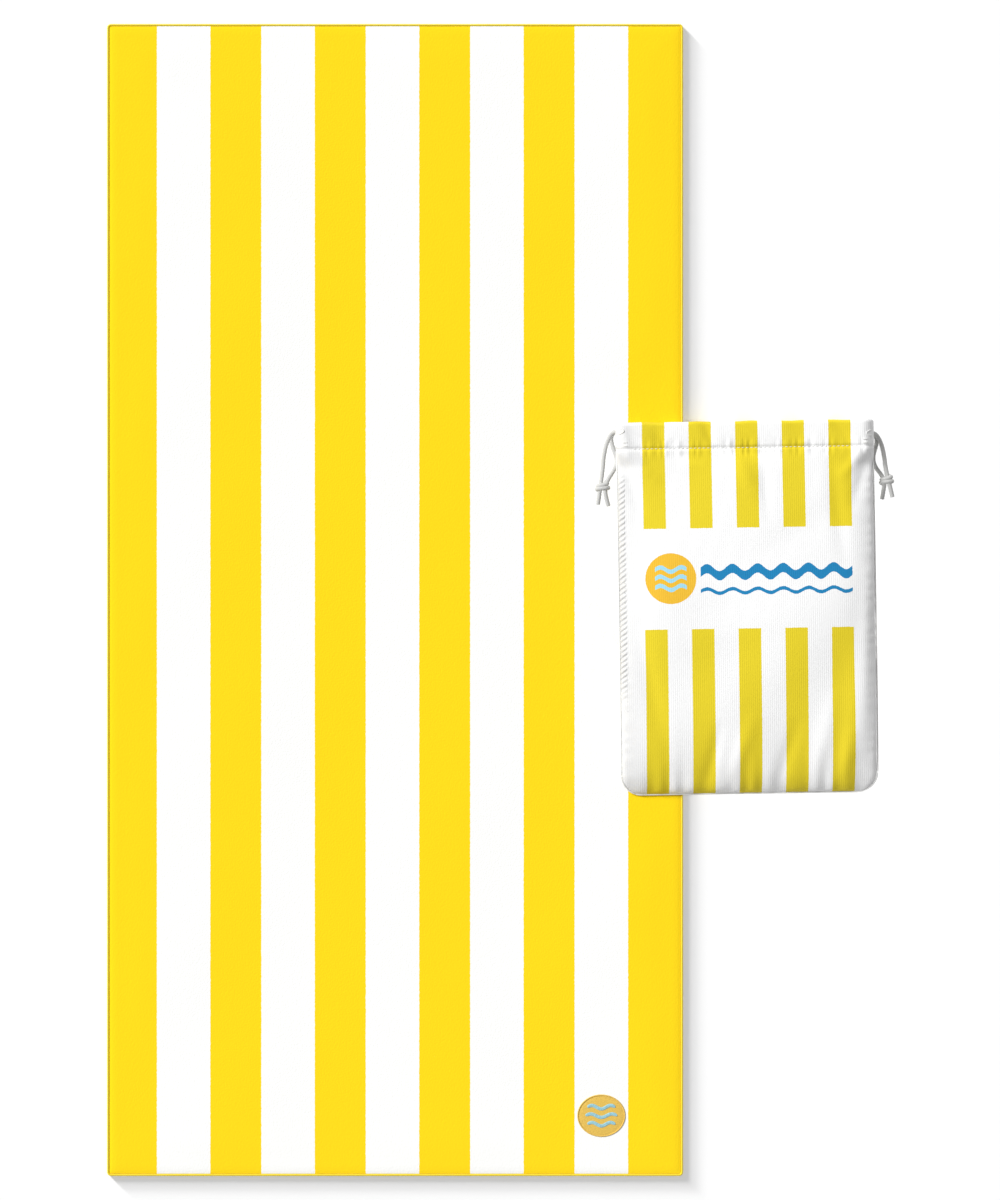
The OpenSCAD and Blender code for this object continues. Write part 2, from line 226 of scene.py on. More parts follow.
def evenly(points: np.ndarray, step: float) -> np.ndarray:
    """The same line, with its points at equal distances, as close to step as divides it."""
    run = travelled(points)
    at = np.linspace(0, run[-1], max(3, round(run[-1] / step) + 1))
    return np.stack([np.interp(at, run, points[:, k]) for k in range(3)], -1)


def curve_through(points: np.ndarray, step: float) -> np.ndarray:
    """A smooth line through given points, as a Catmull-Rom curve, its points a step apart.

    Args:
        points: The points, n by 3.
        step: Distance between the new points along the curve.

    Returns:
        The new points, from the first of the old ones to the last.
    """
    ends = np.concatenate([[2 * points[0] - points[1]], points, [2 * points[-1] - points[-2]]])
    t = np.linspace(0, 1, 24, endpoint=False)[:, None]
    spans = [
        0.5 * (
            2 * b + (c - a) * t + (2 * a - 5 * b + 4 * c - d) * t**2
            + (3 * b - a - 3 * c + d) * t**3)
        for a, b, c, d in zip(ends, ends[1:], ends[2:], ends[3:])
    ]
    return evenly(np.concatenate([*spans, points[-1:]]), step)


def tubes(
    paths: np.ndarray, radius: np.ndarray, up: np.ndarray, closed: bool = False, flat: float = 1.0
) -> Surface:
    """Tubes along lines of points, whose radius may change along them and round them.

    A tube's point (i, j) is its line's point i plus radius (i, j) times the direction at angle j
    round the line, measured from the side direction, which is the way ahead crossed with up.

    Args:
        paths: The lines, tubes by n by 3.
        radius: Radii, n by the number of sides, which is even.
        up: A direction that no line runs along, or one for each tube.
        closed: Whether each line is a ring.
        flat: Height of the section over its width.

    Returns:
        All the tubes as one surface, closed at their ends, with the length along each and the way
        round it as UV, in metres.
    """
    count, n = paths.shape[:2]
    sides = radius.shape[1]
    ahead = np.roll(paths, -1, 1) - np.roll(paths, 1, 1) if closed else np.gradient(paths, axis=1)
    ahead = unit(ahead)
    side = unit(np.cross(ahead, np.broadcast_to(up, (count, 3))[:, None]))
    over = np.cross(side, ahead)
    angle = TAU * np.arange(sides) / sides
    cosine, sine = np.cos(angle)[:, None], np.sin(angle)[:, None]
    ring = cosine * side[:, :, None] + flat * sine * over[:, :, None]
    walls = (paths[:, :, None] + radius[None, :, :, None] * ring).reshape(count, -1, 3)
    lengths = np.linalg.norm(np.diff(paths, axis=1), axis=2)
    run = np.concatenate([np.zeros((count, 1)), np.cumsum(lengths, 1)], 1)
    around = np.broadcast_to(angle * radius.mean(), (count, n, sides))
    run = np.broadcast_to(run[:, :, None], around.shape)
    uv = np.stack([run, around], -1).reshape(count, -1, 2)
    quads = grid_quads(n, sides, round_rows=closed, round_cols=True)
    if not closed:
        walls = np.concatenate([walls, paths[:, :1], paths[:, -1:]], 1)
        uv = np.concatenate([uv, uv[:, :1], uv[:, -1:]], 1)
        j = np.arange(0, sides, 2)
        first = np.stack([np.full(j.size, n * sides), (j + 2) % sides, j + 1, j], -1)
        last = np.stack([j, j + 1, (j + 2) % sides, np.full(j.size, sides + 1)], -1)
        quads = np.concatenate([quads, first, last + (n - 1) * sides])
    quads = quads[None] + (np.arange(count) * walls.shape[1])[:, None, None]
    return Surface(walls.reshape(-1, 3), quads.reshape(-1, 4), uv.reshape(-1, 2))


def joined(surfaces: list[Surface]) -> Surface:
    """Puts several surfaces together as one, with their points renumbered."""
    starts = np.cumsum([0] + [len(s.points) for s in surfaces[:-1]])
    return Surface(
        np.concatenate([s.points for s in surfaces]),
        np.concatenate([s.quads + start for s, start in zip(surfaces, starts)]),
        np.concatenate([s.uv for s in surfaces]),
    )


def thread_ribs(n: int, sides: int, radius: float, pitch: float, step: float) -> np.ndarray:
    """Radii of a thread-covered tube: ribs a pitch apart that lean by one pitch in a turn.

    Radius is the plain one times 1 + 0.1 cos(2 pi distance / pitch + angle).

    Args:
        n: Number of rings.
        sides: Number of points round each.
        radius: The tube's plain radius.
        pitch: Distance between two ribs.
        step: Distance between two rings.

    Returns:
        Radii, n by sides.
    """
    along = np.arange(n)[:, None] * step / pitch
    return radius * (1 + 0.1 * np.cos(TAU * (along + np.arange(sides)[None] / sides)))


def stitches(
    starts: np.ndarray, ends: np.ndarray, up: np.ndarray, radius: float, rise: float
) -> Surface:
    """Short threads that come out of the cloth, pass over it and go back in.

    Each is a tube of seven rings on the arc start + t (end - start) + up x rise x sin(pi t), thin
    at both ends.

    Args:
        starts: Where each comes out, n by 3.
        ends: Where each goes in, n by 3.
        up: The cloth's normal at each.
        radius: The thread's radius.
        rise: Height of the arc.

    Returns:
        All the threads as one surface.
    """
    t = np.array([0, 0.12, 0.3, 0.5, 0.7, 0.88, 1])
    arc = (rise * np.sin(math.pi * t))[:, None] * up[:, None]
    paths = starts[:, None] + t[:, None] * (ends - starts)[:, None] + arc
    taper = np.array([0.3, 0.85, 1, 1, 1, 0.85, 0.3])
    return tubes(paths, radius * np.repeat(taper[:, None], 6, 1), up)


# ---------------------------------------------------------------- finishes


def add(
    tree: bpy.types.NodeTree, kind: str, inputs: dict | None = None, **settings: object
) -> object:
    """Adds a node, with its settings, and fills its inputs.

    Args:
        tree: The material's nodes.
        kind: The node's type after "ShaderNode".
        inputs: A value, or another node's output to link, for each named or numbered input.
        **settings: The node's own properties.

    Returns:
        The node's outputs.
    """
    made = tree.nodes.new(f"ShaderNode{kind}")
    for name, value in settings.items():
        setattr(made, name, value)
    for key, value in (inputs or {}).items():
        if isinstance(value, bpy.types.NodeSocket):
            tree.links.new(value, made.inputs[key])
        else:
            made.inputs[key].default_value = value
    return made.outputs


def empty_material(name: str) -> tuple[bpy.types.Material, bpy.types.NodeTree]:
    """A new material with no nodes, and its tree."""
    material = bpy.data.materials.new(name)
    material.use_nodes = True
    material.node_tree.nodes.clear()
    return material, material.node_tree


def blended(
    tree: bpy.types.NodeTree, share: object, under: object, over: object
) -> bpy.types.NodeSocket:
    """One colour over another by a share from 0 to 1; each is a hex colour or an output."""
    pair = [linear(c) if isinstance(c, str) else c for c in (under, over)]
    return add(tree, "Mix", {0: share, 6: pair[0], 7: pair[1]}, data_type="RGBA")[2]


@dataclass(frozen=True)
class TowelStripes:
    """Where the towel's colours lie across it, from its middle line."""

    pitch: float = 145 * MM
    white_width: float = 74.3 * MM
    shift: float = -3.5 * MM
    white_count: int = 5


@dataclass(frozen=True)
class TerryPile:
    """Cotton velour terry, reactive printed: sheared loops that scatter light softly.

    The eye gets an even, saturated colour with no gloss, a fine nap, and a paler back where the
    print only shows through.
    """

    stripes: TowelStripes
    yellow: str = "#FFDA0A"
    white: str = "#FBFBF9"
    back_yellow: str = "#FBE88A"
    back_white: str = "#F6F5F1"
    loop_spacing: float = 2.2 * MM  # twice the real 1.1 mm, so that it shows
    roughness: float = 0.95

    def material(self) -> bpy.types.Material:
        """Builds the stripes on Object coordinates, the nap's colour grain and its bump."""
        material, tree = empty_material("cotton_terry_velour")
        place = add(tree, "TexCoord")["Object"]
        x = add(tree, "SeparateXYZ", {0: place})[0]
        s = self.stripes
        wander = add(tree, "TexNoise", {"Vector": place, "Scale": 260.0, "Detail": 2.0})[0]
        x = add(tree, "Math", {0: wander, 1: 1.6 * MM, 2: x}, operation="MULTIPLY_ADD")[0]
        across = add(tree, "Math", {0: x, 1: 1 / s.pitch, 2: -(s.shift + 0.8 * MM) / s.pitch},
            operation="MULTIPLY_ADD")[0]
        nearest = add(tree, "Math", {0: across, 1: 0.5}, operation="PINGPONG")[0]
        stripe = add(tree, "Math", {0: nearest, 1: s.white_width / s.pitch / 2},
            operation="LESS_THAN")[0]
        within = add(tree, "Math", {0: across, 1: 0.0, 2: s.white_count / 2},
            operation="COMPARE")[0]
        white = add(tree, "Math", {0: stripe, 1: within}, operation="MULTIPLY")[0]
        front = blended(tree, white, self.yellow, self.white)
        back = blended(tree, white, self.back_yellow, self.back_white)
        colour = blended(tree, add(tree, "Attribute", attribute_name="inside")["Fac"], front, back)
        grain = add(tree, "TexNoise", {"Vector": place, "Scale": 420.0, "Detail": 3.0})[0]
        shade = add(tree, "MapRange",
            {"Value": grain, "From Min": 0.3, "From Max": 0.7, "To Min": 0.975, "To Max": 1.0})[0]
        colour = add(tree, "Mix", {0: 1.0, 6: colour, 7: shade}, data_type="RGBA",
            blend_type="MULTIPLY")[2]
        loops = add(tree, "TexVoronoi", {"Vector": place, "Scale": 1 / self.loop_spacing})[0]
        relief = add(tree, "Bump", {"Strength": 0.35, "Distance": 0.5 * MM, "Height": loops},
            invert=True)[0]
        shader = add(tree, "BsdfPrincipled", {
            "Base Color": colour, "Roughness": self.roughness, "IOR": 1.5, "Normal": relief,
            "Specular IOR Level": 0.15, "Sheen Weight": 0.12, "Sheen Roughness": 0.6,
        })[0]
        add(tree, "OutputMaterial", {"Surface": shader})
        return material


@dataclass(frozen=True)
class Thread:
    """Spun or filament thread: the eye gets a soft gloss along it and fine twist lines across."""

    name: str
    colour: str
    roughness: float = 0.6
    sheen: float = 0.2
    grain: float = 0.06
    twist: float = 0.8 * MM

    def material(self) -> bpy.types.Material:
        """Builds the thread's slightly uneven colour, and its twist as bump on the piece's UV."""
        material, tree = empty_material(self.name)
        place = add(tree, "TexCoord")
        speck = add(tree, "TexNoise", {"Vector": place["Object"], "Scale": 900.0, "Detail": 3.0})[0]
        shade = add(tree, "MapRange", {
            "Value": speck, "From Min": 0.3, "From Max": 0.7, "To Min": 1 - 2 * self.grain,
            "To Max": 1.0})[0]
        colour = add(tree, "Mix", {0: 1.0, 6: linear(self.colour), 7: shade}, data_type="RGBA",
            blend_type="MULTIPLY")[2]
        lines = add(tree, "TexWave", {
            "Vector": place["UV"], "Scale": TAU / 20 / self.twist, "Distortion": 1.5,
            "Detail": 1.0},
            bands_direction="DIAGONAL")[1]
        relief = add(tree, "Bump", {"Strength": 0.3, "Distance": 0.15 * MM, "Height": lines})[0]
        shader = add(tree, "BsdfPrincipled", {
            "Base Color": colour, "Roughness": self.roughness, "IOR": 1.5, "Normal": relief,
            "Specular IOR Level": 0.3, "Sheen Weight": self.sheen, "Sheen Roughness": 0.5,
        })[0]
        add(tree, "OutputMaterial", {"Surface": shader})
        return material


@dataclass(frozen=True)
class PrintedWave:
    """One wavy ribbon of the pouch's print.

    Its middle line is height + swing sin(2 pi count (u - start) / length).
    """

    start: float
    length: float
    height: float
    thickness: float
    swing: float
    count: float

    def mask(self, tree: bpy.types.NodeTree, u: object, v: object) -> bpy.types.NodeSocket:
        """Adds the nodes that give 1 on the ribbon and 0 off it, at a place u, v on the cloth."""
        turn = TAU * self.count / self.length
        phase = add(tree, "Math", {0: u, 1: turn, 2: -self.start * turn},
            operation="MULTIPLY_ADD")[0]
        sine = add(tree, "Math", {0: phase}, operation="SINE")[0]
        middle = add(tree, "Math", {0: sine, 1: self.swing, 2: self.height},
            operation="MULTIPLY_ADD")[0]
        near = add(tree, "Math", {0: v, 1: middle, 2: self.thickness / 2}, operation="COMPARE")[0]
        along = add(tree, "Math", {0: u, 1: self.start + self.length / 2, 2: self.length / 2},
            operation="COMPARE")[0]
        return add(tree, "Math", {0: near, 1: along}, operation="MULTIPLY")[0]


@dataclass(frozen=True)
class PouchPrint:
    """The print on the pouch: yellow bars, and a plain band with an emblem and wave bars in it."""

    bar_width: float = 31 * MM
    bar_pitch: float = 64.3 * MM
    bar_count: int = 5
    bar_shift: float = 1.6 * MM
    band_middle: float = 297.5 * MM
    band_half: float = 69.5 * MM
    emblem: tuple[float, float] = (-106 * MM, 298 * MM)
    emblem_radius: float = 35 * MM

    def bars(self, tree: bpy.types.NodeTree, u: object, v: object) -> bpy.types.NodeSocket:
        """1 on the yellow bars, 0 on the white cloth."""
        across = add(tree, "Math",
            {0: u, 1: 1 / self.bar_pitch, 2: -self.bar_shift / self.bar_pitch},
            operation="MULTIPLY_ADD")[0]
        nearest = add(tree, "Math", {0: across, 1: 0.5}, operation="PINGPONG")[0]
        bar = add(tree, "Math", {0: nearest, 1: self.bar_width / self.bar_pitch / 2},
            operation="LESS_THAN")[0]
        within = add(tree, "Math", {0: across, 1: 0.0, 2: self.bar_count / 2},
            operation="COMPARE")[0]
        band = add(tree, "Math", {0: v, 1: self.band_middle, 2: self.band_half},
            operation="COMPARE")[0]
        off_band = add(tree, "Math", {0: 1.0, 1: band}, operation="SUBTRACT")[0]
        bars = add(tree, "Math", {0: bar, 1: within}, operation="MULTIPLY")[0]
        return add(tree, "Math", {0: bars, 1: off_band}, operation="MULTIPLY")[0]

    def disc(self, tree: bpy.types.NodeTree, place: object) -> bpy.types.NodeSocket:
        """1 on the emblem's disc, 0 off it."""
        away = add(tree, "VectorMath", {0: place, 1: (*self.emblem, 0.0)},
            operation="DISTANCE")["Value"]
        return add(tree, "Math", {0: away, 1: self.emblem_radius}, operation="LESS_THAN")[0]

    def pale_waves(self) -> list[PrintedWave]:
        """The three waves on the disc."""
        u, v = self.emblem
        half = 0.62 * self.emblem_radius
        gap = 0.36 * self.emblem_radius
        return [
            PrintedWave(u - half, 2 * half, v + k * gap, 6 * MM, 3 * MM, 1.5) for k in (-1, 0, 1)]

    def blue_waves(self) -> list[PrintedWave]:
        """The two wave bars beside the disc."""
        u, v = self.emblem
        start = u + self.emblem_radius + 6 * MM
        return [
            PrintedWave(start, 210 * MM, v + 8 * MM, 13 * MM, 5 * MM, 6),
            PrintedWave(start, 210 * MM, v - 18 * MM, 5 * MM, 3 * MM, 6),
        ]


@dataclass(frozen=True)
class PouchKnit:
    """Polyester warp knit with a sublimated print.

    The eye gets a matt cloth with fine upright ribs, and short floats that catch the light.
    """

    art: PouchPrint
    white: str = "#FAFAFA"
    yellow: str = "#E9D327"
    orange: str = "#F3C036"
    pale_blue: str = "#A4DDF0"
    blue: str = "#1B84BB"
    rib_spacing: float = 2.9 * MM  # three real ribs drawn as one, so that they show
    overlock_pitch: float = 6.4 * MM
    margin: tuple[float, float] = (-177 * MM, -130 * MM)  # painted shade: the colour darkens towards the left edge across this span of u
    margin_shade: float = 0.79
    roughness: float = 0.8

    def colour(self, tree: bpy.types.NodeTree, place: object) -> bpy.types.NodeSocket:
        """Lays the print's colours over the white cloth, by the place on the cloth."""
        wander = add(tree, "TexNoise", {"Vector": place, "Scale": 500.0, "Detail": 1.0})[1]
        bleed = add(tree, "VectorMath", {0: wander, 1: (0.5, 0.5, 0.5)}, operation="SUBTRACT")[0]
        inked = add(tree, "VectorMath", {0: bleed, 1: (1.2 * MM, 1.2 * MM, 0.0), 2: place},
            operation="MULTIPLY_ADD")[0]
        flat = add(tree, "VectorMath", {0: inked, 1: (1.0, 1.0, 0.0)}, operation="MULTIPLY")[0]
        parts = add(tree, "SeparateXYZ", {0: flat})
        u, v = parts[0], parts[1]
        front = add(tree, "Attribute", attribute_name="front")["Fac"]
        colour = blended(tree, self.art.bars(tree, u, v), self.white, self.yellow)
        disc = add(tree, "Math", {0: self.art.disc(tree, flat), 1: front}, operation="MULTIPLY")[0]
        colour = blended(tree, disc, colour, self.orange)
        inks = ((self.art.pale_waves(), self.pale_blue), (self.art.blue_waves(), self.blue))
        for waves, ink in inks:
            for wave in waves:
                mask = add(tree, "Math", {0: wave.mask(tree, u, v), 1: front},
                    operation="MULTIPLY")[0]
                colour = blended(tree, mask, colour, ink)
        wrong_side = add(tree, "Attribute", attribute_name="inside")["Fac"]
        faded = blended(tree, 0.62, colour, "#F4F4F2")
        return blended(tree, wrong_side, colour, faded)

    def ribs(self, tree: bpy.types.NodeTree, place: object) -> bpy.types.NodeSocket:
        """Height of the knit: upright ribs, broken up by a noise drawn out along them."""
        wave = add(tree, "TexWave", {
            "Vector": place, "Scale": TAU / 20 / self.rib_spacing, "Distortion": 2.6, "Detail": 2.0,
            "Detail Scale": 30.0})[1]
        long = add(tree, "Mapping", {"Vector": place, "Scale": (1.0, 0.28, 1.0)})[0]
        floats = add(tree, "TexNoise",
            {"Vector": long, "Scale": 640.0, "Detail": 3.0, "Roughness": 0.6})[0]
        return add(tree, "Math", {0: floats, 1: 1.3, 2: wave}, operation="MULTIPLY_ADD")[0]

    def material(self) -> bpy.types.Material:
        """Builds the print, with painted shade in the rib valleys, towards the left edge and over
        the overlock band, and the bump, on the cloth's own UV in metres.
        """
        material, tree = empty_material("printed_polyester_knit")
        place = add(tree, "UVMap", uv_map="cloth")[0]
        height = self.ribs(tree, place)
        # painted shade: the colour is darkened where the knit's height is low, in the valleys
        # between the ribs
        painted_rib_shade = add(tree, "MapRange",
            {"Value": height, "From Min": 0.2, "From Max": 1.5, "To Min": 0.95, "To Max": 1.0})[0]
        colour = add(tree, "Mix", {0: 1.0, 6: self.colour(tree, place), 7: painted_rib_shade}, data_type="RGBA",
            blend_type="MULTIPLY")[2]
        overlock = add(tree, "Attribute", attribute_name="overlock")["Fac"]
        u = add(tree, "SeparateXYZ", {0: place})[0]
        # painted shade: the knit's colour is darkened towards its left edge, standing in for the
        # shade that falls there
        margin = add(tree, "MapRange", {
            "Value": u, "From Min": self.margin[0], "From Max": self.margin[1],
            "To Min": self.margin_shade, "To Max": 1.0},
            interpolation_type="SMOOTHSTEP")[0]
        # painted shade: the overlock band is darkened a little more, standing in for the shade
        # between its stitches
        painted_edge_and_seam_shade = add(tree, "Math", {0: overlock, 1: -0.08, 2: margin}, operation="MULTIPLY_ADD")[0]
        colour = add(tree, "Mix", {0: 1.0, 6: colour, 7: painted_edge_and_seam_shade}, data_type="RGBA",
            blend_type="MULTIPLY")[2]
        slanted = add(tree, "Mapping",
            {"Vector": place, "Rotation": (0.0, 0.0, math.radians(62))})[0]
        ridges = add(tree, "TexWave", {
            "Vector": slanted, "Scale": TAU / 20 / self.overlock_pitch, "Distortion": 0.6,
            "Detail": 1.0})[1]
        ridge = add(tree, "Math", {0: ridges, 1: overlock}, operation="MULTIPLY")[0]
        crease = add(tree, "Bump", {"Strength": 0.9, "Distance": 1.5 * MM, "Height": ridge})[0]
        relief = add(tree, "Bump",
            {"Strength": 0.4, "Distance": 0.45 * MM, "Height": height, "Normal": crease})[0]
        shader = add(tree, "BsdfPrincipled", {
            "Base Color": colour, "Roughness": self.roughness, "IOR": 1.5, "Normal": relief,
            "Specular IOR Level": 0.25, "Sheen Weight": 0.08, "Sheen Roughness": 0.5,
        })[0]
        add(tree, "OutputMaterial", {"Surface": shader})
        return material


@dataclass(frozen=True)
class StudioFloor:
    """Matt white laminate under the towel."""

    colour: str = "#F4F4F4"

    def material(self) -> bpy.types.Material:
        """Builds the floor's plain white with a trace of unevenness."""
        material, tree = empty_material("matt_white_laminate")
        place = add(tree, "TexCoord")["Object"]
        cloud = add(tree, "TexNoise", {"Vector": place, "Scale": 2.0})[0]
        rough = add(tree, "MapRange", {"Value": cloud, "To Min": 0.75, "To Max": 0.85})[0]
        shader = add(tree, "BsdfPrincipled", {
            "Base Color": linear(self.colour), "Roughness": rough, "Specular IOR Level": 0.1})[0]
        add(tree, "OutputMaterial", {"Surface": shader})
        return material


# ---------------------------------------------------------------- the towel and its badge


def edged_steps(low: float, high: float, step: float) -> np.ndarray:
    """Places from low to high about a step apart, with extra ones close to both ends."""
    tuck = np.array([0, 1, 2.5, 4.5]) * MM
    middle = np.linspace(low + tuck[-1], high - tuck[-1], round((high - low) / step))
    return np.concatenate([low + tuck[:-1], middle, (high - tuck[:-1])[::-1]])


@dataclass
class Towel:
    """The towel's one cloth, lying flat, and the overlocked thread round its edge."""

    low: np.ndarray
    high: np.ndarray
    pile_low: np.ndarray
    pile_high: np.ndarray
    cell: float = 8 * MM
    swell: float = 1.4 * MM
    corner: float = 4 * MM
    thread_step: float = 0.62 * MM
    thread_pitch: float = 2.5 * MM
    calm_from: float = 0.16  # the swells end here, on the pouch's side
    calm_half: float = 0.37
    calm_edge: float = 0.09
    badge_spot: tuple[float, float] = (0.287, -0.716)
    badge_calm: float = 0.1
    badge_edge: float = 0.05
    hem_run: float = 0.05
    round_run: float = 4.5 * MM
    round_drop: float = 0.9 * MM
    underside: float = 0.05 * MM

    @classmethod
    def found(cls) -> "Towel":
        """Reads the towel's size from its nodes."""
        nodes = ("towel_edge_thread", "towel_base", "towel_pile_white")
        edge, base, pile = (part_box(node) for node in nodes)
        low, high = np.array(edge[0]), np.array(edge[1])
        return cls(low, high, np.array(base[0]), np.array([base[1][0], base[1][1], pile[1][2]]))

    def rise(self, x: np.ndarray, y: np.ndarray) -> np.ndarray:
        """How far the cloth swells up: nowhere under the pouch, its cords and the badge."""
        swell = (
            0.5
            + 0.26 * np.sin(TAU * x / 0.31 + 1.1 * np.sin(TAU * y / 0.62) + 0.4)
            + 0.17 * np.sin(TAU * y / 0.27 + 2.0 * np.sin(TAU * x / 0.55))
            + 0.07 * np.sin(TAU * (x + y) / 0.13 + 1.7)
        )
        beside = smooth((x - self.calm_from) / self.calm_edge)
        pouch = beside * smooth((self.calm_half - np.abs(y)) / self.calm_edge)
        away = np.hypot(x - self.badge_spot[0], y - self.badge_spot[1])
        badge = smooth((self.badge_calm - away) / self.badge_edge)
        return self.swell * swell * (1 - pouch) * (1 - badge)

    def sheet(self, name: str) -> Surface:
        """The cloth: its face is the pile's height plus the swells, rounded down at the edges."""
        x = edged_steps(self.pile_low[0], self.pile_high[0], self.cell)
        y = edged_steps(self.pile_low[1], self.pile_high[1], self.cell)
        x, y = np.meshgrid(x, y)
        inwards = np.minimum(self.pile_high[0] - np.abs(x), self.pile_high[1] - np.abs(y))
        rise = self.rise(x, y) * smooth(inwards / self.hem_run)
        rounding = self.round_drop * (1 - smooth(inwards / self.round_run))
        face = self.pile_high[2] + rise - rounding
        back = self.underside + 0.85 * rise
        place = np.stack([x, y], -1)
        LOG.info("%s swells up to %.1f mm", name, 1000 * rise.max())
        return slab(
            np.concatenate([place, face[..., None]], -1),
            np.concatenate([place, back[..., None]], -1), place)

    def edge(self) -> Surface:
        """The overlocking: one ribbed tube round the towel, with rounded corners."""
        half = (self.high - self.low)[:2] / 2
        height = self.high[2] - self.low[2]
        radius = (half - self.pile_high[:2])[0] / 2
        inner = half - radius - self.corner
        turn = np.linspace(0, math.pi / 2, 9)
        signs = [(1, 1), (-1, 1), (-1, -1), (1, -1)]
        corners = [
            np.stack([
                sx * inner[0] + self.corner * np.cos(turn + k * math.pi / 2),
                sy * inner[1] + self.corner * np.sin(turn + k * math.pi / 2),
                np.full(9, self.low[2] + height / 2)], -1)
            for k, (sx, sy) in enumerate(signs)
        ]
        loop = np.concatenate([*corners, corners[0][:1]])
        path = evenly(loop, self.thread_step)[:-1]
        n = len(path)
        turns = round(travelled(loop)[-1] / self.thread_pitch)
        radii = thread_ribs(n, 8, radius * 0.93, n / turns, 1.0)
        return tubes(path[None], radii, UPWARDS, closed=True, flat=height / 2 / radius)

    def build(self) -> list[bpy.types.Object]:
        """Makes the sheet and its edge, and puts them on the towel's body.

        Returns:
            The sheet and its edge.
        """
        face = TerryPile(TowelStripes()).material()
        sheet = self.sheet("towel_sheet").piece("towel_sheet", face)
        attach(sheet, "towel")
        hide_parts("towel_base", "towel_pile_yellow", "towel_pile_white")
        edge = self.edge().piece("towel_overlock",
            Thread("spun_polyester_overlock_yellow", "#F6DC28").material())
        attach(edge, "towel")
        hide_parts("towel_edge_thread")
        badge = Badge.found().build()
        return [sheet, edge]


@dataclass
class Badge:
    """An embroidered disc with three waves, sewn on the last white stripe."""

    low: np.ndarray
    high: np.ndarray
    waves_low: np.ndarray
    waves_high: np.ndarray
    satin: float = 1.7 * MM  # four real threads drawn as one, so that they show

    @classmethod
    def found(cls) -> "Badge":
        """Reads the badge's size from its nodes."""
        ground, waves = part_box("badge_ground"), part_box("badge_waves")
        return cls(*(np.array(p) for p in (*ground, *waves)))

    def ground(self) -> Surface:
        """The disc of satin stitches: it falls off at the rim, and ribs lie side by side across it.

        A square grid (p, q) is drawn onto the ellipse as x = p sqrt(1 - q^2 / 2) and
        y = q sqrt(1 - p^2 / 2).
        """
        p, q = np.meshgrid(np.linspace(-1, 1, 241), np.linspace(-1, 1, 61))
        half = (self.high - self.low) / 2
        middle = (self.high + self.low) / 2
        x, y = p * np.sqrt(1 - q * q / 2), q * np.sqrt(1 - p * p / 2)
        out = np.hypot(x, y)
        stagger = 0.5 * np.floor((y * half[1]) / (6.5 * MM))
        ribs = np.abs(np.sin(math.pi * (x * half[0] / self.satin + stagger)))
        dome = (1 - out**8) * (0.74 + 0.12 * np.cos(math.pi * out / 2))
        dome = dome + 0.14 * ribs * (1 - out**16)
        top = self.low[2] + (self.high[2] - self.low[2]) * dome
        place = np.stack([middle[0] + half[0] * x, middle[1] + half[1] * y], -1)
        under = np.full(x.shape + (1,), self.low[2] - 0.4 * MM)
        return slab(np.concatenate([place, top[..., None]], -1), np.concatenate([place, under], -1),
            place)

    def border(self) -> Surface:
        """The whipped rim: a tube round the disc with leaning ribs."""
        half = (self.high - self.low)[:2] / 2 - 1.0 * MM
        middle = (self.high + self.low)[:2] / 2
        turn = np.linspace(0, TAU, 421)
        ring = np.stack([
            middle[0] + half[0] * np.cos(turn), middle[1] + half[1] * np.sin(turn),
            np.full(turn.size, self.low[2] + 0.35 * MM)], -1)
        path = evenly(ring, 0.4 * MM)[:-1]
        turns = round(travelled(ring)[-1] / self.satin)
        radii = thread_ribs(len(path), 8, 0.95 * MM, len(path) / turns, 1.0)
        return tubes(path[None], radii, UPWARDS, closed=True)

    def wave(self, index: int) -> Surface:
        """One of the three waves: a domed, ribbed ribbon on the line y = swing sin(3 pi t)."""
        length = (self.waves_high - self.waves_low)[0] * (1 - 0.12 * abs(index))
        middle = (self.waves_high + self.waves_low) / 2
        gap = (self.high - self.low)[1] * 0.2
        t = np.linspace(0, 1, 181)[:, None]
        across = np.linspace(-1, 1, 9)[None]
        line = np.stack([
            middle[0] + length * (t[:, 0] - 0.5),
            middle[1] + index * gap + 2.4 * MM * np.sin(3 * math.pi * t[:, 0])], -1)
        way = unit(np.gradient(line, axis=0))
        beside = np.stack([way[:, 1], -way[:, 0]], -1)
        taper = np.sqrt(np.clip(1 - (2 * t - 1) ** 14, 0.02, 1))
        place = line[:, None] + beside[:, None] * (across * taper)[..., None] * 2.6 * MM
        ribs = 0.82 + 0.18 * np.abs(np.sin(math.pi * t * length / (0.8 * self.satin)))
        low = self.low[2] + 0.7 * MM
        top = low + (self.waves_high[2] - low) * np.sqrt(np.clip(1 - across**4, 0, 1)) * ribs
        under = np.full(place.shape[:2] + (1,), self.low[2] + 0.3 * MM)
        return slab(np.concatenate([place, top[..., None]], -1), np.concatenate([place, under], -1),
            place)

    def build(self) -> list[bpy.types.Object]:
        """Makes the badge's pieces.

        Returns:
            The disc with its rim, and the waves.
        """
        orange = Thread("rayon_embroidery_orange", "#F6CC5E", roughness=0.45, sheen=0.3, grain=0.17)
        blue = Thread("rayon_embroidery_pale_blue", "#A6DAE6", roughness=0.45, sheen=0.3, grain=0.2)
        ground = joined([self.ground(), self.border()]).piece("badge_disc", orange.material())
        waves = joined([self.wave(k) for k in (-1, 0, 1)]).piece(
            "badge_waves_thread", blue.material())
        for piece, node, slot in (
            (ground, "badge_ground", "embroidery_orange"),
            (waves, "badge_waves", "embroidery_blue"),
        ):
            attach(piece, "towel")
            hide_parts(node)
        return [ground, waves]


# ---------------------------------------------------------------- the pouch


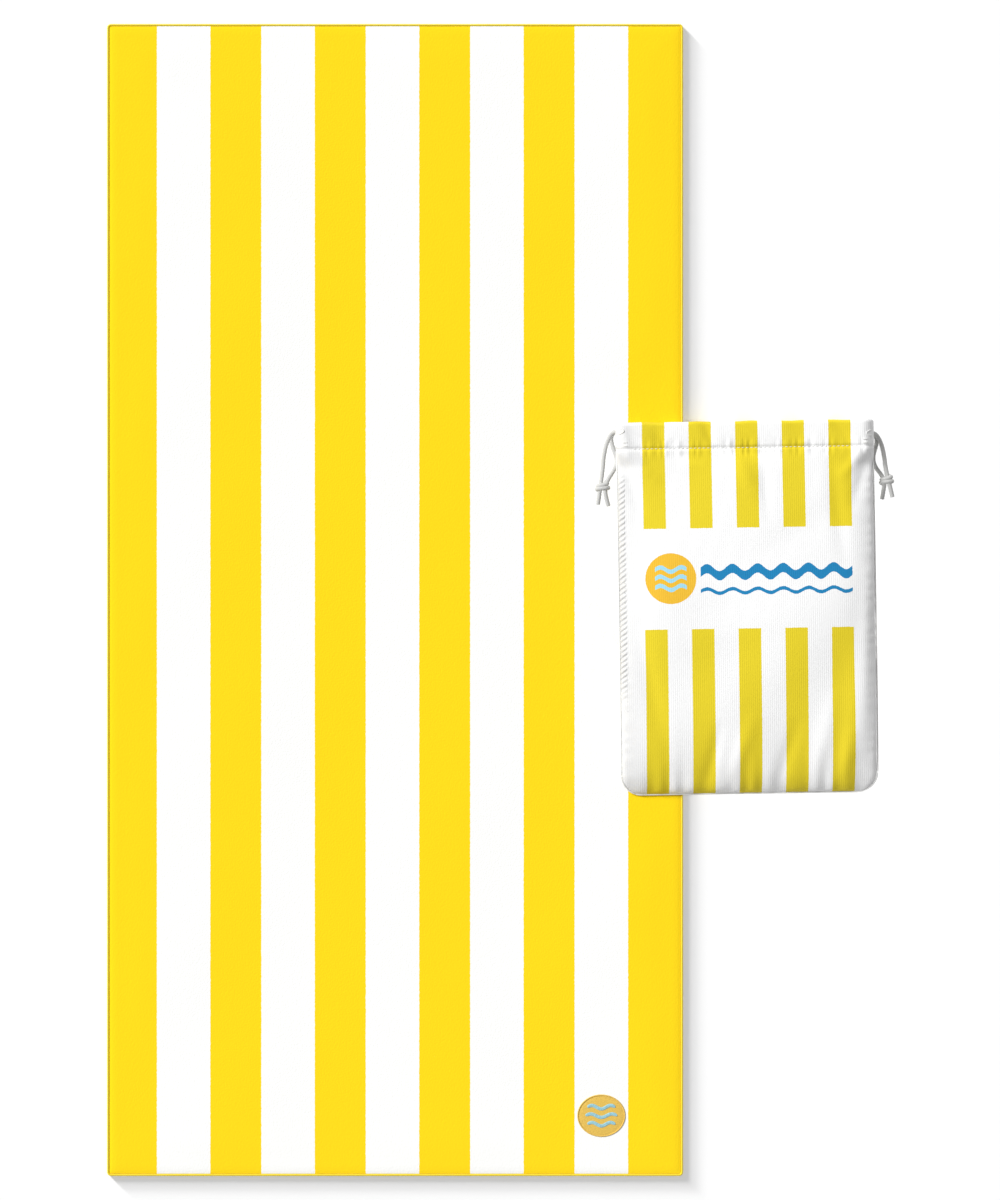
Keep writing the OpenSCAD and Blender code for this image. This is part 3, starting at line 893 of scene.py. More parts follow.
@dataclass
class PouchFrame:
    """The pouch's flat frame in the world, and the sizes of its mouth that its nodes give."""

    origin: np.ndarray
    across: np.ndarray
    up: np.ndarray
    straight: float
    mouth_radius: float
    mouth_z: float
    seam: float
    rim: float
    half_width: float

    @classmethod
    def found(cls, frame: dict) -> "PouchFrame":
        """Works the frame out from the right drawcord's slide and the cloth's nodes."""
        axis = next(j["axis"] for j in frame["joints"] if j["name"] == "pull_right")
        across = np.array([axis[0], axis[1], 0])
        up = np.array([-axis[1], axis[0], 0])

        def reach(node: str) -> np.ndarray:
            """Lowest and highest places of a node along u, v and z."""
            mesh = frame["nodes"][node].data
            flat = np.empty(3 * len(mesh.vertices), np.float32)
            mesh.vertices.foreach_get("co", flat)
            local = flat.reshape(-1, 3) @ np.stack([across, up, [0, 0, 1]], 1)
            return np.array([local.min(0), local.max(0)])

        front, sleeve, end = reach("pouch_front"), reach("casing_front"), reach("casing_end_right")
        middle = sleeve[:, 0].mean()
        bottom = front[0, 1]
        return cls(
            origin=middle * across + bottom * up, across=across, up=up,
            straight=end[0, 0] - middle, mouth_radius=(end[1, 2] - end[0, 2]) / 2,
            mouth_z=end[:, 2].mean(), seam=sleeve[0, 1] - bottom, rim=sleeve[1, 1] - bottom,
            half_width=(front[1, 0] - front[0, 0]) / 2)

    def world(self, local: np.ndarray) -> np.ndarray:
        """Turns places (u, v, z) into places in the world."""
        flat = self.origin + local[..., :1] * self.across + local[..., 1:2] * self.up
        return flat + local[..., 2:] * UPWARDS

    def gather(self, side: Side) -> tuple[np.ndarray, np.ndarray]:
        """Where the cloth starts to follow one end of the mouth, and where it wholly does."""
        start = np.array([0, self.rim, self.mouth_z])
        lean = np.array([side.value * 0.945, 0.328, 0])
        return self.world(start), self.world(start + 145 * MM * lean)

    def gathers(self, piece: bpy.types.Object, side: Side) -> None:
        """Bakes a piece of the pouch's cloth or sewing into its mesh; where it would draw in with
        one end of the mouth is worked out but not used.
        """
        start, end = self.gather(side)
        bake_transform(piece)


ROUTES = {
    Side.LEFT: (
        [[3.5, -1.5, -17.5], [7, -6, -20.3], [10.5, -13, -22.3], [13.5, -22, -23.6],
         [16, -34, -24.3], [17.3, -46, -24.4], [18.6, -57, -24], [20, -67, -23.5],
         [21.5, -76, -23.5], [23, -87, -25], [25, -100, -27.4]],
        [[-5, 0, 0], [-2.2, 0, 0], [1.8, -1.3, -0.5], [4.6, -5, -1], [5.4, -10.5, -1.8],
         [4, -18.5, -2.1], [0.8, -28, -2.1], [-2, -38, -2.1], [-0.6, -47.5, -2.1],
         [4.5, -56.5, -1.6], [10, -65, 0],
         [14.5, -76, 1.5], [14, -88, 0], [10.5, -102.5, -2.4]],
    ),
    Side.RIGHT: (
        [[3.5, -1.5, -17.8], [7, -6, -21.2], [10.5, -13, -23.8], [13.3, -22, -25.5],
         [15.3, -33, -26.3], [16.5, -44, -26.4], [18.3, -54.5, -26.1], [20.5, -65, -26],
         [23, -75, -27.5], [26, -88, -29.8]],
        [[-5, 0, 0], [-2.2, 0, 0], [1.8, -1.3, -0.8], [4.6, -5, -2], [5.4, -10.5, -3.6],
         [4, -18.5, -4.6], [1, -28, -4.8], [0.4, -38, -4.8], [4, -47.5, -4.4], [9.5, -55.5, -2.6],
         [14.5, -65, -1],
         [14, -76, -2.8], [11.5, -91, -4.8]],
    ),
}
KNOTS = {Side.LEFT: (18, -76, -23.5), Side.RIGHT: (18, -65, -26)}
CORD_DOWNS = {Side.LEFT: 12 * MM, Side.RIGHT: 20 * MM}
TURN_RADIUS = 12.5 * MM
EXIT_TURN = math.radians(50)


@dataclass(frozen=True)
class Crease:
    """A soft ridge in the cloth from one place to another, or a valley where height is below 0."""

    start: tuple[float, float]
    end: tuple[float, float]
    width: float
    height: float

    def lift(self, u: np.ndarray, v: np.ndarray) -> np.ndarray:
        """Height exp(-(distance from the line / width)^2), fading over the line's two ends."""
        a, b = np.array(self.start) * MM, np.array(self.end) * MM
        along = (b - a) / np.dot(b - a, b - a)
        t = (u - a[0]) * along[0] + (v - a[1]) * along[1]
        nearest = np.clip(t, 0, 1)
        away = np.hypot(u - a[0] - nearest * (b - a)[0], v - a[1] - nearest * (b - a)[1])
        fade = 0.35 + 0.65 * np.sin(math.pi * np.clip(t, 0.02, 0.98))
        return self.height * MM * fade * np.exp(-((away / (self.width * MM)) ** 2))


CREASES = (
    Crease((-172, 512), (-146, 484), 8, -2.0),
    Crease((-162, 516), (-126, 488), 7, 1.8),
    Crease((-168, 476), (-128, 438), 10, 2.2),
    Crease((-172, 462), (-148, 396), 9, -2.2),
    Crease((-126, 512), (-112, 484), 8, -1.5),
    Crease((-58, 514), (-42, 480), 7, -2.2),
    Crease((-104, 470), (-66, 462), 8, -1.6),
    Crease((-38, 476), (34, 468), 8, -2.4),
    Crease((-10, 466), (8, 420), 10, 1.8),
    Crease((24, 462), (30, 380), 8, -1.4),
    Crease((58, 512), (94, 484), 9, -1.8),
    Crease((66, 478), (104, 470), 7, -1.8),
    Crease((118, 512), (148, 486), 8, -2.2),
    Crease((168, 478), (136, 440), 8, 2.4),
    Crease((172, 470), (150, 400), 9, -2.2),
    Crease((118, 470), (134, 320), 11, -1.6),
    Crease((-118, 60), (-152, 230), 13, -1.8),
    Crease((-62, 4), (-42, 90), 9, -2.0),
    Crease((-30, 10), (4, 100), 11, 1.9),
    Crease((36, 2), (64, 92), 10, -1.8),
    Crease((88, 8), (114, 124), 12, 2.0),
    Crease((126, 2), (138, 78), 10, 2.4),
    Crease((142, 30), (154, 210), 16, 2.6),
    Crease((158, 60), (166, 300), 9, 1.5),
    Crease((-90, 210), (60, 250), 26, 1.2),
    Crease((20, 330), (120, 390), 24, -1.3),
)


@dataclass
class PouchCloth:
    """The pouch's knit: one sleeve of cloth, hemmed over the channel, flat at the bottom."""

    place: PouchFrame
    thickness: float = 1.1 * MM
    corner: float = 27 * MM
    belly: float = 5.5 * MM
    squareness: float = 5
    hem_depth: float = 7.9 * MM
    sewn_depth: float = 1.25 * MM
    hem_tail: float = 6 * MM
    exit: float = 0.183
    groove: tuple[float, float] = (1.5 * MM, 2.3 * MM)  # depth, half width
    pucker: float = 0.85 * MM
    roundness: float = 0.7 * MM
    gather: float = 1.15 * MM
    ripple: float = 0.5 * MM
    swell: float = 1.1 * MM
    floor_drop: float = 3.4 * MM
    drop_from: float = -76 * MM
    drop_run: float = 40 * MM
    columns: int = 364

    def __post_init__(self) -> None:
        """Works out the whole cloth once, for the halves and for what is sewn onto them."""
        self.v, self.depth, self.run = self.rows()
        self.share = np.linspace(0, 1, self.columns + 1)
        outline, self.girth = self.outlines()
        self.front = np.abs(self.share - 0.5)[None] * 4 - 1
        self.front = np.broadcast_to(np.clip(self.front / 0.04, -1, 1) / 2 + 0.5, outline.shape[:2])
        self.around = self.share[None] * self.girth[:, None]
        half = self.girth[:, None] / 2
        right = np.where(self.share[None] < 0.25, self.around, half - self.around)
        left = np.where(self.share[None] < 0.75, half - self.around, self.around - 2 * half)
        self.across = np.where(self.share[None] <= 0.5, right, left)
        way = np.gradient(outline, axis=1)
        outwards = unit(np.stack([-way[..., 1], way[..., 0]], -1))
        v = np.broadcast_to(self.v[:, None], self.across.shape)
        lifted = outline + outwards * self.lift(self.across, v)[..., None]
        up_channel = smooth((v - self.place.seam) / (self.place.rim - self.place.seam))
        rim_wave = up_channel * self.wave(self.across)
        self.points = self.place.world(np.stack([lifted[..., 0], v + rim_wave, lifted[..., 1]], -1))
        wrapped = np.concatenate([self.points[:, -2:-1], self.points, self.points[:, 1:2]], 1)
        self.normals = grid_normals(wrapped)[:, 1:-1]

    def rows(self) -> tuple[np.ndarray, np.ndarray, np.ndarray]:
        """Places the rows: up the body, over the rim in half a circle, and down inside the hem.

        Returns:
            Height of each, how deep it lies under the pouch's outside, and the way along the cloth.
        """
        seam, rim = self.place.seam, self.place.rim
        half = self.thickness / 2
        bend = self.hem_depth / 2
        top = rim - half - bend
        up = np.concatenate([
            0.3 * MM + 32 * MM * np.linspace(0, 1, 17)[:-1] ** 1.9,
            np.arange(32.3 * MM, seam - 10 * MM, 2.9 * MM),
            np.arange(seam - 10 * MM, seam + 10 * MM, 1.1 * MM),
            np.arange(seam + 10 * MM, top, 1.9 * MM)])
        turn = np.linspace(0, math.pi, 11)
        over_v, over_depth = top + bend * np.sin(turn), half + bend * (1 - np.cos(turn))
        down = np.concatenate([np.arange(top - 1.9 * MM, seam + 11 * MM, -1.9 * MM),
            np.arange(seam + 11 * MM, seam - self.hem_tail, -1.2 * MM)])
        slope = smooth((down - seam - 1.6 * MM) / (8 * MM))
        down_depth = half + self.sewn_depth + (self.hem_depth - self.sewn_depth) * slope
        v = np.concatenate([up, over_v, down])
        depth = np.concatenate([np.full(up.size, half), over_depth, down_depth])
        run = np.concatenate([[0], np.cumsum(np.hypot(np.diff(v), np.diff(depth)))]) + v[0]
        return v, depth, run

    def thick(self, v: np.ndarray) -> np.ndarray:
        """Half the body's thickness, as (mouth + belly sin(pi s)) sqrt(1 - (1 - s)^8)."""
        s = np.clip(v / self.place.seam, 0, 1)
        full = self.place.mouth_radius + self.belly * np.sin(math.pi * s)
        return full * np.sqrt(1 - (1 - s) ** 8)

    def outlines(self) -> tuple[np.ndarray, np.ndarray]:
        """The section at each row, from the front's middle round by the right.

        The body's section is |u / a|^5 + |z / t|^2 = 1 and the mouth's is two straights joined by
        half circles; each is drawn at equal shares of its own girth, and one turns into the other
        just below the mouth's channel.

        Returns:
            Places (u, z) for each row and share, and each row's girth.
        """
        v, depth = self.v[:, None], self.depth[:, None]
        seam = self.place.seam
        thick = self.thick(v)
        low = np.clip(self.corner - v, 0, self.corner)
        wide = self.place.half_width - self.corner + np.sqrt(self.corner**2 - low**2) - depth
        angle = TAU * np.linspace(0, 1, 2881)[None]
        sine = np.sin(angle)
        body_u = wide * np.sign(sine) * np.abs(sine) ** (2 / self.squareness)
        body_z = (thick - depth) * np.cos(angle)
        run = np.concatenate([np.zeros((v.size, 1)),
            np.cumsum(np.hypot(np.diff(body_u), np.diff(body_z)), 1)], 1)
        at = self.share * run[:, -1:]
        body = np.stack([
            [np.interp(a, r, u) for a, r, u in zip(at, run, body_u)],
            [np.interp(a, r, z) for a, r, z in zip(at, run, body_z)]], -1)
        straight, radius = self.place.straight, self.place.mouth_radius - depth
        ends = np.concatenate([
            0 * v, straight + 0 * v, straight + math.pi * radius, 3 * straight + math.pi * radius,
            3 * straight + 2 * math.pi * radius, 4 * straight + 2 * math.pi * radius], 1)
        s = self.share[None] * ends[:, -1:]
        right, left = (s - ends[:, 1:2]) / radius, (s - ends[:, 3:4]) / radius
        spans = [s < ends[:, 1:2], s < ends[:, 2:3], s < ends[:, 3:4], s < ends[:, 4:5]]
        mouth_u = np.select(spans, [
            s, straight + radius * np.sin(right), straight - (s - ends[:, 2:3]),
            -straight - radius * np.sin(left)], s - ends[:, 5:6])
        mouth_z = np.select(spans, [
            radius + 0 * s, radius * np.cos(right), -radius + 0 * s, -radius * np.cos(left)],
            radius + 0 * s)
        mouth = smooth((v - seam + 26 * MM) / (23 * MM))
        u = (1 - mouth) * body[..., 0] + mouth * mouth_u
        z = (1 - mouth) * body[..., 1] + mouth * mouth_z
        girth = (1 - mouth[:, 0]) * run[:, -1] + mouth[:, 0] * ends[:, -1]
        middle = self.place.mouth_z - self.place.mouth_radius + thick
        outer = np.clip(1 - (depth - self.thickness / 2) / self.hem_depth, 0, 1)
        sag = self.floor_drop * smooth((u - self.drop_from) / self.drop_run)
        sag = sag * np.sqrt(1 - (1 - np.clip(v / seam, 0, 1)) ** 8)
        end = 1 - mouth * smooth((u - 140 * MM) / (18 * MM))
        hang = sag * end * outer * np.clip(-z / np.maximum(thick, MM), 0, 1)
        return np.stack([u, middle + z - hang], -1), girth

    def wave(self, u: np.ndarray) -> np.ndarray:
        """How far the rim wanders up and down along its length."""
        return 0.35 * MM * (np.sin(TAU * u / 0.083 + 0.6) + 0.7 * np.sin(TAU * u / 0.037) - 1.7)

    def lift(self, u: np.ndarray, v: np.ndarray) -> np.ndarray:
        """How far the finished cloth stands out from its plain shape, over front and back.

        It is the sum of the channel's roundness, the groove that the stitches pull in, the puckers
        on both sides of it, gathers over the bottom seam, ripples along the side seams, long low
        swells and the single creases. The back is calmer and only ever lies inside its plain shape.
        """
        seam, rim = self.place.seam, self.place.rim
        off = v - seam - 0.8 * MM
        groove = -self.groove[0] * np.exp(-((off / self.groove[1]) ** 2))
        strong = 0.65 + 0.35 * np.sin(TAU * u / 0.094 + 2.1) + 0.25 * np.sin(TAU * u / 0.037)
        beside = np.exp(-(((np.abs(off) - 5 * MM) / (6.5 * MM)) ** 2))
        uneven = 1.9 * np.sin(TAU * u / 0.061) + 1.2 * np.sin(TAU * u / 0.023)
        tucks = np.sin(TAU * u / 0.0135 + uneven + 0.05 * off / MM)
        pucker = self.pucker * strong * beside * tucks
        channel = self.roundness * np.sin(math.pi * np.clip(off / (rim - seam), 0, 1))
        bottom = np.exp(-v / (26 * MM)) * smooth(v / (4 * MM))
        gathers = self.gather * bottom * np.sin(TAU * u / 0.027 + 1.4 * np.sin(TAU * u / 0.11))
        inwards = np.clip(0.18 - np.abs(u), 0, 0.2)
        near_side = np.exp(-((inwards / (13 * MM)) ** 2))
        ripples = self.ripple * near_side * np.sin(TAU * v / 0.019 + 1.5 * np.sin(TAU * v / 0.07))
        ripples = ripples * smooth(v / (40 * MM)) * smooth((seam - v) / (14 * MM))
        body = smooth(v / (30 * MM)) * smooth((seam - v) / (40 * MM))
        wide_swell = np.sin(TAU * u / 0.19 + 1.2 * np.sin(TAU * v / 0.33) + 0.7)
        tall_swell = 0.6 * np.sin(TAU * v / 0.21 + 1.5 * np.sin(TAU * u / 0.27))
        swells = self.swell * body * (wide_swell + tall_swell)
        total = groove + pucker + channel + gathers + ripples + swells
        total = total + sum(crease.lift(u, v) for crease in CREASES)
        to_exit = np.hypot(self.exit - np.abs(u), np.maximum(seam + 12 * MM - v, 0))
        calm = smooth((to_exit - 8 * MM) / (16 * MM))
        total = total * np.where(v > seam + 4 * MM, calm, 1)
        sides = np.clip(self.front * 2 - 1, 0, 1)
        return total * sides - 0.4 * np.abs(total) * (1 - sides)

    def on(
        self, across: np.ndarray, v: np.ndarray, back: bool = False, lift: float = 0.0
    ) -> tuple[np.ndarray, np.ndarray]:
        """Finds places on the finished cloth.

        Args:
            across: Way round the cloth from the middle of the front or back, to the right.
            v: Height up the pouch.
            back: Whether they are on the back.
            lift: How far off the cloth's middle they are.

        Returns:
            The places and the cloth's normals there, in the world.
        """
        outer = slice(0, int(np.argmax(self.v)))
        row = np.interp(v, self.v[outer], np.arange(outer.stop))
        girth = np.interp(v, self.v[outer], self.girth[outer])
        share = (0.5 - across / girth) if back else (across / girth) % 1
        col = share * self.columns
        i = np.minimum(row.astype(int), outer.stop - 2)
        j = np.minimum(col.astype(int), self.columns - 1)
        p, q = (row - i)[:, None], (col - j)[:, None]

        def mean(grid: np.ndarray) -> np.ndarray:
            """The grid's value between its four nearest points."""
            low = grid[i, j] * (1 - q) + grid[i, j + 1] * q
            return low * (1 - p) + (grid[i + 1, j] * (1 - q) + grid[i + 1, j + 1] * q) * p

        normal = unit(mean(self.normals))
        return mean(self.points) + lift * normal, normal

    def half(self, side: Side) -> Surface:
        """The cloth on one side of the pouch's middle, with its thickness."""
        middle = self.columns // 2
        cut = slice(0, middle + 1) if side is Side.RIGHT else slice(middle, None)
        points, normals = self.points[:, cut], self.normals[:, cut]
        across = self.across[:, cut]
        uv = np.stack([across, np.broadcast_to(self.run[:, None], across.shape)], -1)
        lift = normals * self.thickness / 2
        made = slab(points + lift, points - lift, uv, normals)
        front = self.front[:, cut]
        band = smooth((across + 0.192) / (4 * MM)) * smooth((-0.167 - across) / (3 * MM))
        tall = smooth((self.v - 0.12) / 0.05) * smooth((0.45 - self.v) / 0.03)
        made.marks["front"] = np.tile(front.ravel(), 2)
        # the overlock mark places both the band's bump ridges and its painted shade
        made.marks["overlock"] = np.tile((band * tall[:, None] * (side is Side.LEFT)).ravel(), 2)
        return made

    def build(self) -> None:
        """Makes both halves and bakes each into its mesh."""
        knit = PouchKnit(PouchPrint()).material()
        shared = [
            "pouch_front", "pouch_back", "casing_front", "casing_back", "bars_casing", "bars_upper",
            "bars_lower", "emblem_disc", "emblem_waves", "wave_bars"]
        for side in Side:
            piece = self.half(side).piece(f"pouch_cloth_{side.word}", knit)
            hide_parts(*shared, f"casing_end_{side.word}")
            self.place.gathers(piece, side)


@dataclass
class PouchSewing:
    """The thread on the pouch: stitch line, seams, overlocking, bartacks and eyelets."""

    place: PouchFrame
    cloth: PouchCloth
    pitch: float = 6 * MM
    length: float = 4 * MM
    thread: float = 0.42 * MM
    eyelet_radius: float = 3.9 * MM
    slit_low: float = -4.3 * MM
    girth_rows: int = 120  # rows of the cloth that the overlocking is measured on

    def stitch_line(self, side: Side, back: bool) -> Surface:
        """One half of the row of stitches under the mouth's channel, on the front or back."""
        count = int(156 * MM / self.pitch)
        middle = side.value * (np.arange(count) + 0.5) * self.pitch
        v = np.full(count, self.place.seam + 0.8 * MM)
        lift = self.cloth.thickness / 2
        starts, up = self.cloth.on(middle - self.length / 2, v, back, lift)
        ends, _ = self.cloth.on(middle + self.length / 2, v, back, lift)
        return stitches(starts, ends, up, self.thread, 0.55 * MM)

    def side_seam(self, side: Side) -> Surface:
        """The bead along one side, ribbed by its thread."""
        v = np.arange(self.cloth.corner, self.place.seam - 1 * MM, 0.7 * MM)
        z = self.place.mouth_z - self.place.mouth_radius + self.cloth.thick(v)
        u = np.full(v.size, side.value * (self.place.half_width + 1.1 * MM))
        path = self.place.world(np.stack([u, v, z], -1))
        return tubes(path[None], thread_ribs(v.size, 8, 1.15 * MM, 2.1 * MM, 0.7 * MM), UPWARDS)

    def overlock(self, side: Side, back: bool) -> Surface:
        """Leaning stitches that bind one side seam, from its bead inwards."""
        v = np.arange(120 * MM, 446 * MM, 6.8 * MM)
        rows = slice(0, self.girth_rows)
        edge = np.interp(v, self.cloth.v[rows], self.cloth.girth[rows]) / 4
        lift = self.cloth.thickness / 2
        starts, up = self.cloth.on(side.value * (edge - 1.5 * MM), v, back, lift)
        ends, _ = self.cloth.on(side.value * (edge - 14 * MM), v - 5 * MM, back, lift)
        return stitches(starts, ends, up, 0.5 * MM, 0.5 * MM)

    def bottom_seam(self) -> Surface:
        """The bead under the bottom and round both its corners."""
        r = self.cloth.corner + 1.1 * MM
        inner = self.place.half_width - self.cloth.corner
        turn = np.radians(np.linspace(4, 90, 40))
        right = np.stack([inner + r * np.cos(turn), self.cloth.corner - r * np.sin(turn)], -1)
        line = np.concatenate([right, right[::-1] * [-1, 1]])
        v = np.maximum(line[:, 1], 0)
        rest = self.place.mouth_z - self.place.mouth_radius
        z = np.maximum(rest + self.cloth.thick(v), rest + 1.2 * MM)
        path = evenly(self.place.world(np.concatenate([line, z[:, None]], 1)), 0.7 * MM)
        return tubes(path[None], thread_ribs(len(path), 8, 1.1 * MM, 2.1 * MM, 0.7 * MM), UPWARDS)

    def bartacks(self, side: Side) -> Surface:
        """Two dense bars of satin stitch beside the mouth's end, over the stitch line."""
        k = np.arange(8)
        bars = []
        for up_by in (4 * MM, 9 * MM):
            across = side.value * (self.place.straight + 1 * MM + k * 0.7 * MM)
            v = np.full(k.size, self.place.seam + up_by)
            starts, up = self.cloth.on(across, v - 0.2 * MM, False, self.cloth.thickness / 2)
            ends, _ = self.cloth.on(across, v + 1.9 * MM, False, self.cloth.thickness / 2)
            bars.append(stitches(starts, ends, up, 0.36 * MM, 0.4 * MM))
        return joined(bars)

    def eyelets(self, side: Side) -> Surface:
        """The whipped slit and hole that the cord leaves by, on the mouth's half-round end.

        The slit reaches from the top of the front run down to where its bend comes through.
        """
        circle = np.linspace(0, TAU, 81)[:-1]
        wall = self.place.mouth_radius + 0.25 * MM
        high, low = TURN_RADIUS, self.slit_low
        rings = []
        for top, bottom in ((high, low), (-high, -high)):
            z = np.where(np.sin(circle) >= 0, top, bottom) + self.eyelet_radius * np.sin(circle)
            v = self.place.rim - CORD_DOWNS[side] + self.eyelet_radius * np.cos(circle)
            out = np.sqrt(np.maximum(wall**2 - z**2, (1.5 * MM) ** 2))
            u = side.value * (self.place.straight + out)
            ring = np.stack([u, v, self.place.mouth_z + z], -1)
            ring = evenly(np.concatenate([ring, ring[:1]]), travelled(ring)[-1] / 70)
            picked = np.linspace(0, len(ring) - 1, 61).round().astype(int)[:-1]
            rings.append(self.place.world(ring[picked]))
        radii = thread_ribs(60, 8, 0.75 * MM, 5.0, 1.0)
        return tubes(np.stack(rings), radii, self.place.across, closed=True)

    def build(self) -> None:
        """Makes the sewing; the bartacks and eyelets go on the mouth's ends and the bottom seam on
        the pouch.
        """
        white = Thread("spun_polyester_thread_white", "#F3F3F1").material()
        # painted shade: the overlock thread is given a grey colour that stands in for the shade
        # between its stitches
        grey = Thread("spun_polyester_overlock_grey", "#A6A9AC").material()
        for side in Side:
            lines = (
                ("casing_stitches_front", self.stitch_line(side, False), "casing_stitch_front"),
                ("casing_stitches_back", self.stitch_line(side, True), "casing_stitch_back"),
                ("side_seam_bead", self.side_seam(side), f"side_seam_{side.word}"),
            )
            for name, surface, node in lines:
                piece = surface.piece(f"{name}_{side.word}", white)
                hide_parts(node)
                self.place.gathers(piece, side)
            body = f"mouth_{side.word}"
            tacks = self.bartacks(side).piece(f"bartacks_{side.word}", white)
            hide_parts(f"bartack_{side.word}")
            rings = self.eyelets(side).piece(f"cord_eyelets_{side.word}", white)
            for piece in (tacks, rings):
                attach(piece, body)
        faces = [self.overlock(Side.LEFT, back) for back in (False, True)]
        bind = joined(faces).piece("side_overlock_left", grey)
        self.place.gathers(bind, Side.LEFT)
        bottom = self.bottom_seam().piece("bottom_seam_bead", white)
        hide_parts("bottom_seam")
        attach(bottom, "pouch")


# ---------------------------------------------------------------- the drawcords


@dataclass
class Drawcord:
    """One braided cord: through the mouth's channel and back, and knotted outside one end of it."""

    place: PouchFrame
    side: Side
    braid: bpy.types.Material
    diameter: float = 6 * MM
    exit: float = 179 * MM
    strands: int = 5
    lay: float = 8.4 * MM
    step: float = 0.75 * MM
    easings: int = 26
    knot_turns: tuple[float, float] = (-50, 610)  # degrees round the strands
    knot_wide: float = 7.8 * MM
    knot_high: float = 3.8 * MM
    knot_long: float = 12 * MM

    @property
    def height(self) -> float:
        """Height up the pouch of the cord in its channel."""
        return self.place.rim - CORD_DOWNS[self.side]

    def radii(self, n: int, sides: int = 28) -> np.ndarray:
        """Radii of a braided cord.

        Two families of strands wind round it, one each way, and the higher of the two shows:
        radius = plain x (0.95 + 0.05 max(cos(k a + w s), cos(k a - w s))).
        """
        along = TAU * np.arange(n)[:, None] * self.step / self.lay * 2
        around = TAU * np.arange(sides)[None] / sides * self.strands
        over = np.maximum(np.cos(around + along), np.cos(around - along))
        return self.diameter / 2 * (0.95 + 0.05 * over)

    def strand(self, route: list[list[float]], over: float) -> np.ndarray:
        """A free stretch's middle line in the world, from its listed points.

        The front one starts where the cord leaves its turn in the mouth's end, and runs out along
        the tangent there. The line is then eased: each point moves halfway to the middle of its two
        neighbours, again and again, which opens its tightest bends.
        """
        local = np.array(route) * MM
        if over > 0:
            t = np.linspace(0, 1, 4) * math.sqrt(self.place.mouth_radius**2 - TURN_RADIUS**2)
            begin = TURN_RADIUS * math.sin(EXIT_TURN) - self.place.mouth_radius
            lead = [begin + t * math.cos(EXIT_TURN), 0 * t,
                    TURN_RADIUS * (math.cos(EXIT_TURN) - 1) - t * math.sin(EXIT_TURN)]
            local = np.concatenate([np.stack(lead, -1), local])
        u = self.side.value * (self.exit + local[:, 0])
        v, z = self.height + local[:, 1], self.place.mouth_z + over + local[:, 2]
        points = np.stack([u, v, z], -1)
        path = curve_through(self.place.world(points), self.step)
        for _ in range(self.easings):
            path[1:-1] = path[1:-1] / 2 + (path[:-2] + path[2:]) / 4
        return path

    def run(self) -> Surface:
        """The stretch inside the channel: in at this end, round the other end, and back."""
        turn = np.linspace(0, math.pi, 40)
        near = np.linspace(EXIT_TURN, 0, 12)
        straight = self.place.straight
        u = np.concatenate([
            -straight - TURN_RADIUS * np.sin(near), straight + TURN_RADIUS * np.sin(turn),
            [5 * MM - self.exit]])
        u = u * -self.side.value
        z = self.place.mouth_z + TURN_RADIUS * np.concatenate([np.cos(near), np.cos(turn), [-1]])
        line = np.stack([u, np.full(u.size, self.height), z], -1)
        path = evenly(self.place.world(line), self.step * 1.3)
        return tubes(path[None], self.radii(len(path), 20), self.place.up)

    def knot(self) -> Surface:
        """The overhand knot: the cord wound nearly twice round both strands, ends tucked in."""
        spot = np.array(KNOTS[self.side]) * MM
        first, last = self.knot_turns
        turn = np.linspace(math.radians(first), math.radians(last), 130)
        t = np.linspace(0, 1, turn.size)
        tuck = (0.5 + 0.5 * smooth(np.minimum(t, 1 - t) / 0.12)) * (0.78 + 0.27 * t)
        u = self.side.value * (self.exit + spot[0]) + self.knot_wide * tuck * np.cos(turn)
        v = self.height + spot[1] + self.knot_long * (0.5 - t) - 1.5 * MM * np.sin(turn * 0.5)
        z = self.place.mouth_z + TURN_RADIUS + spot[2] + self.knot_high * tuck * np.sin(turn)
        path = evenly(self.place.world(np.stack([u, v, z], -1)), self.step)
        return tubes(path[None], self.radii(len(path), 24) * 1.06, self.place.up)

    def build(self) -> list[bpy.types.Object]:
        """Returns:
            The pieces outside the mouth.
        """
        name = f"drawcord_{self.side.word}"
        inside = self.run().piece(f"{name}_in_channel", self.braid)
        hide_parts(name)
        knot = self.knot().piece(f"{name}_knot", self.braid)
        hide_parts(f"knot_{self.side.word}")
        free = []
        faces = (("front", TURN_RADIUS), ("back", -TURN_RADIUS))
        for (face, over), route in zip(faces, ROUTES[self.side]):
            path = self.strand(route, over)
            tube = tubes(path[None], self.radii(len(path)), UPWARDS)
            piece = tube.piece(f"{name}_{face}_end", self.braid)
            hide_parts(f"cord_{self.side.word}_{face}")
            free.append((piece, path))
        for piece in (inside, knot, *(p for p, _ in free)):
            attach(piece, name)
        return [knot, *(p for p, _ in free)]


# ---------------------------------------------------------------- the studio


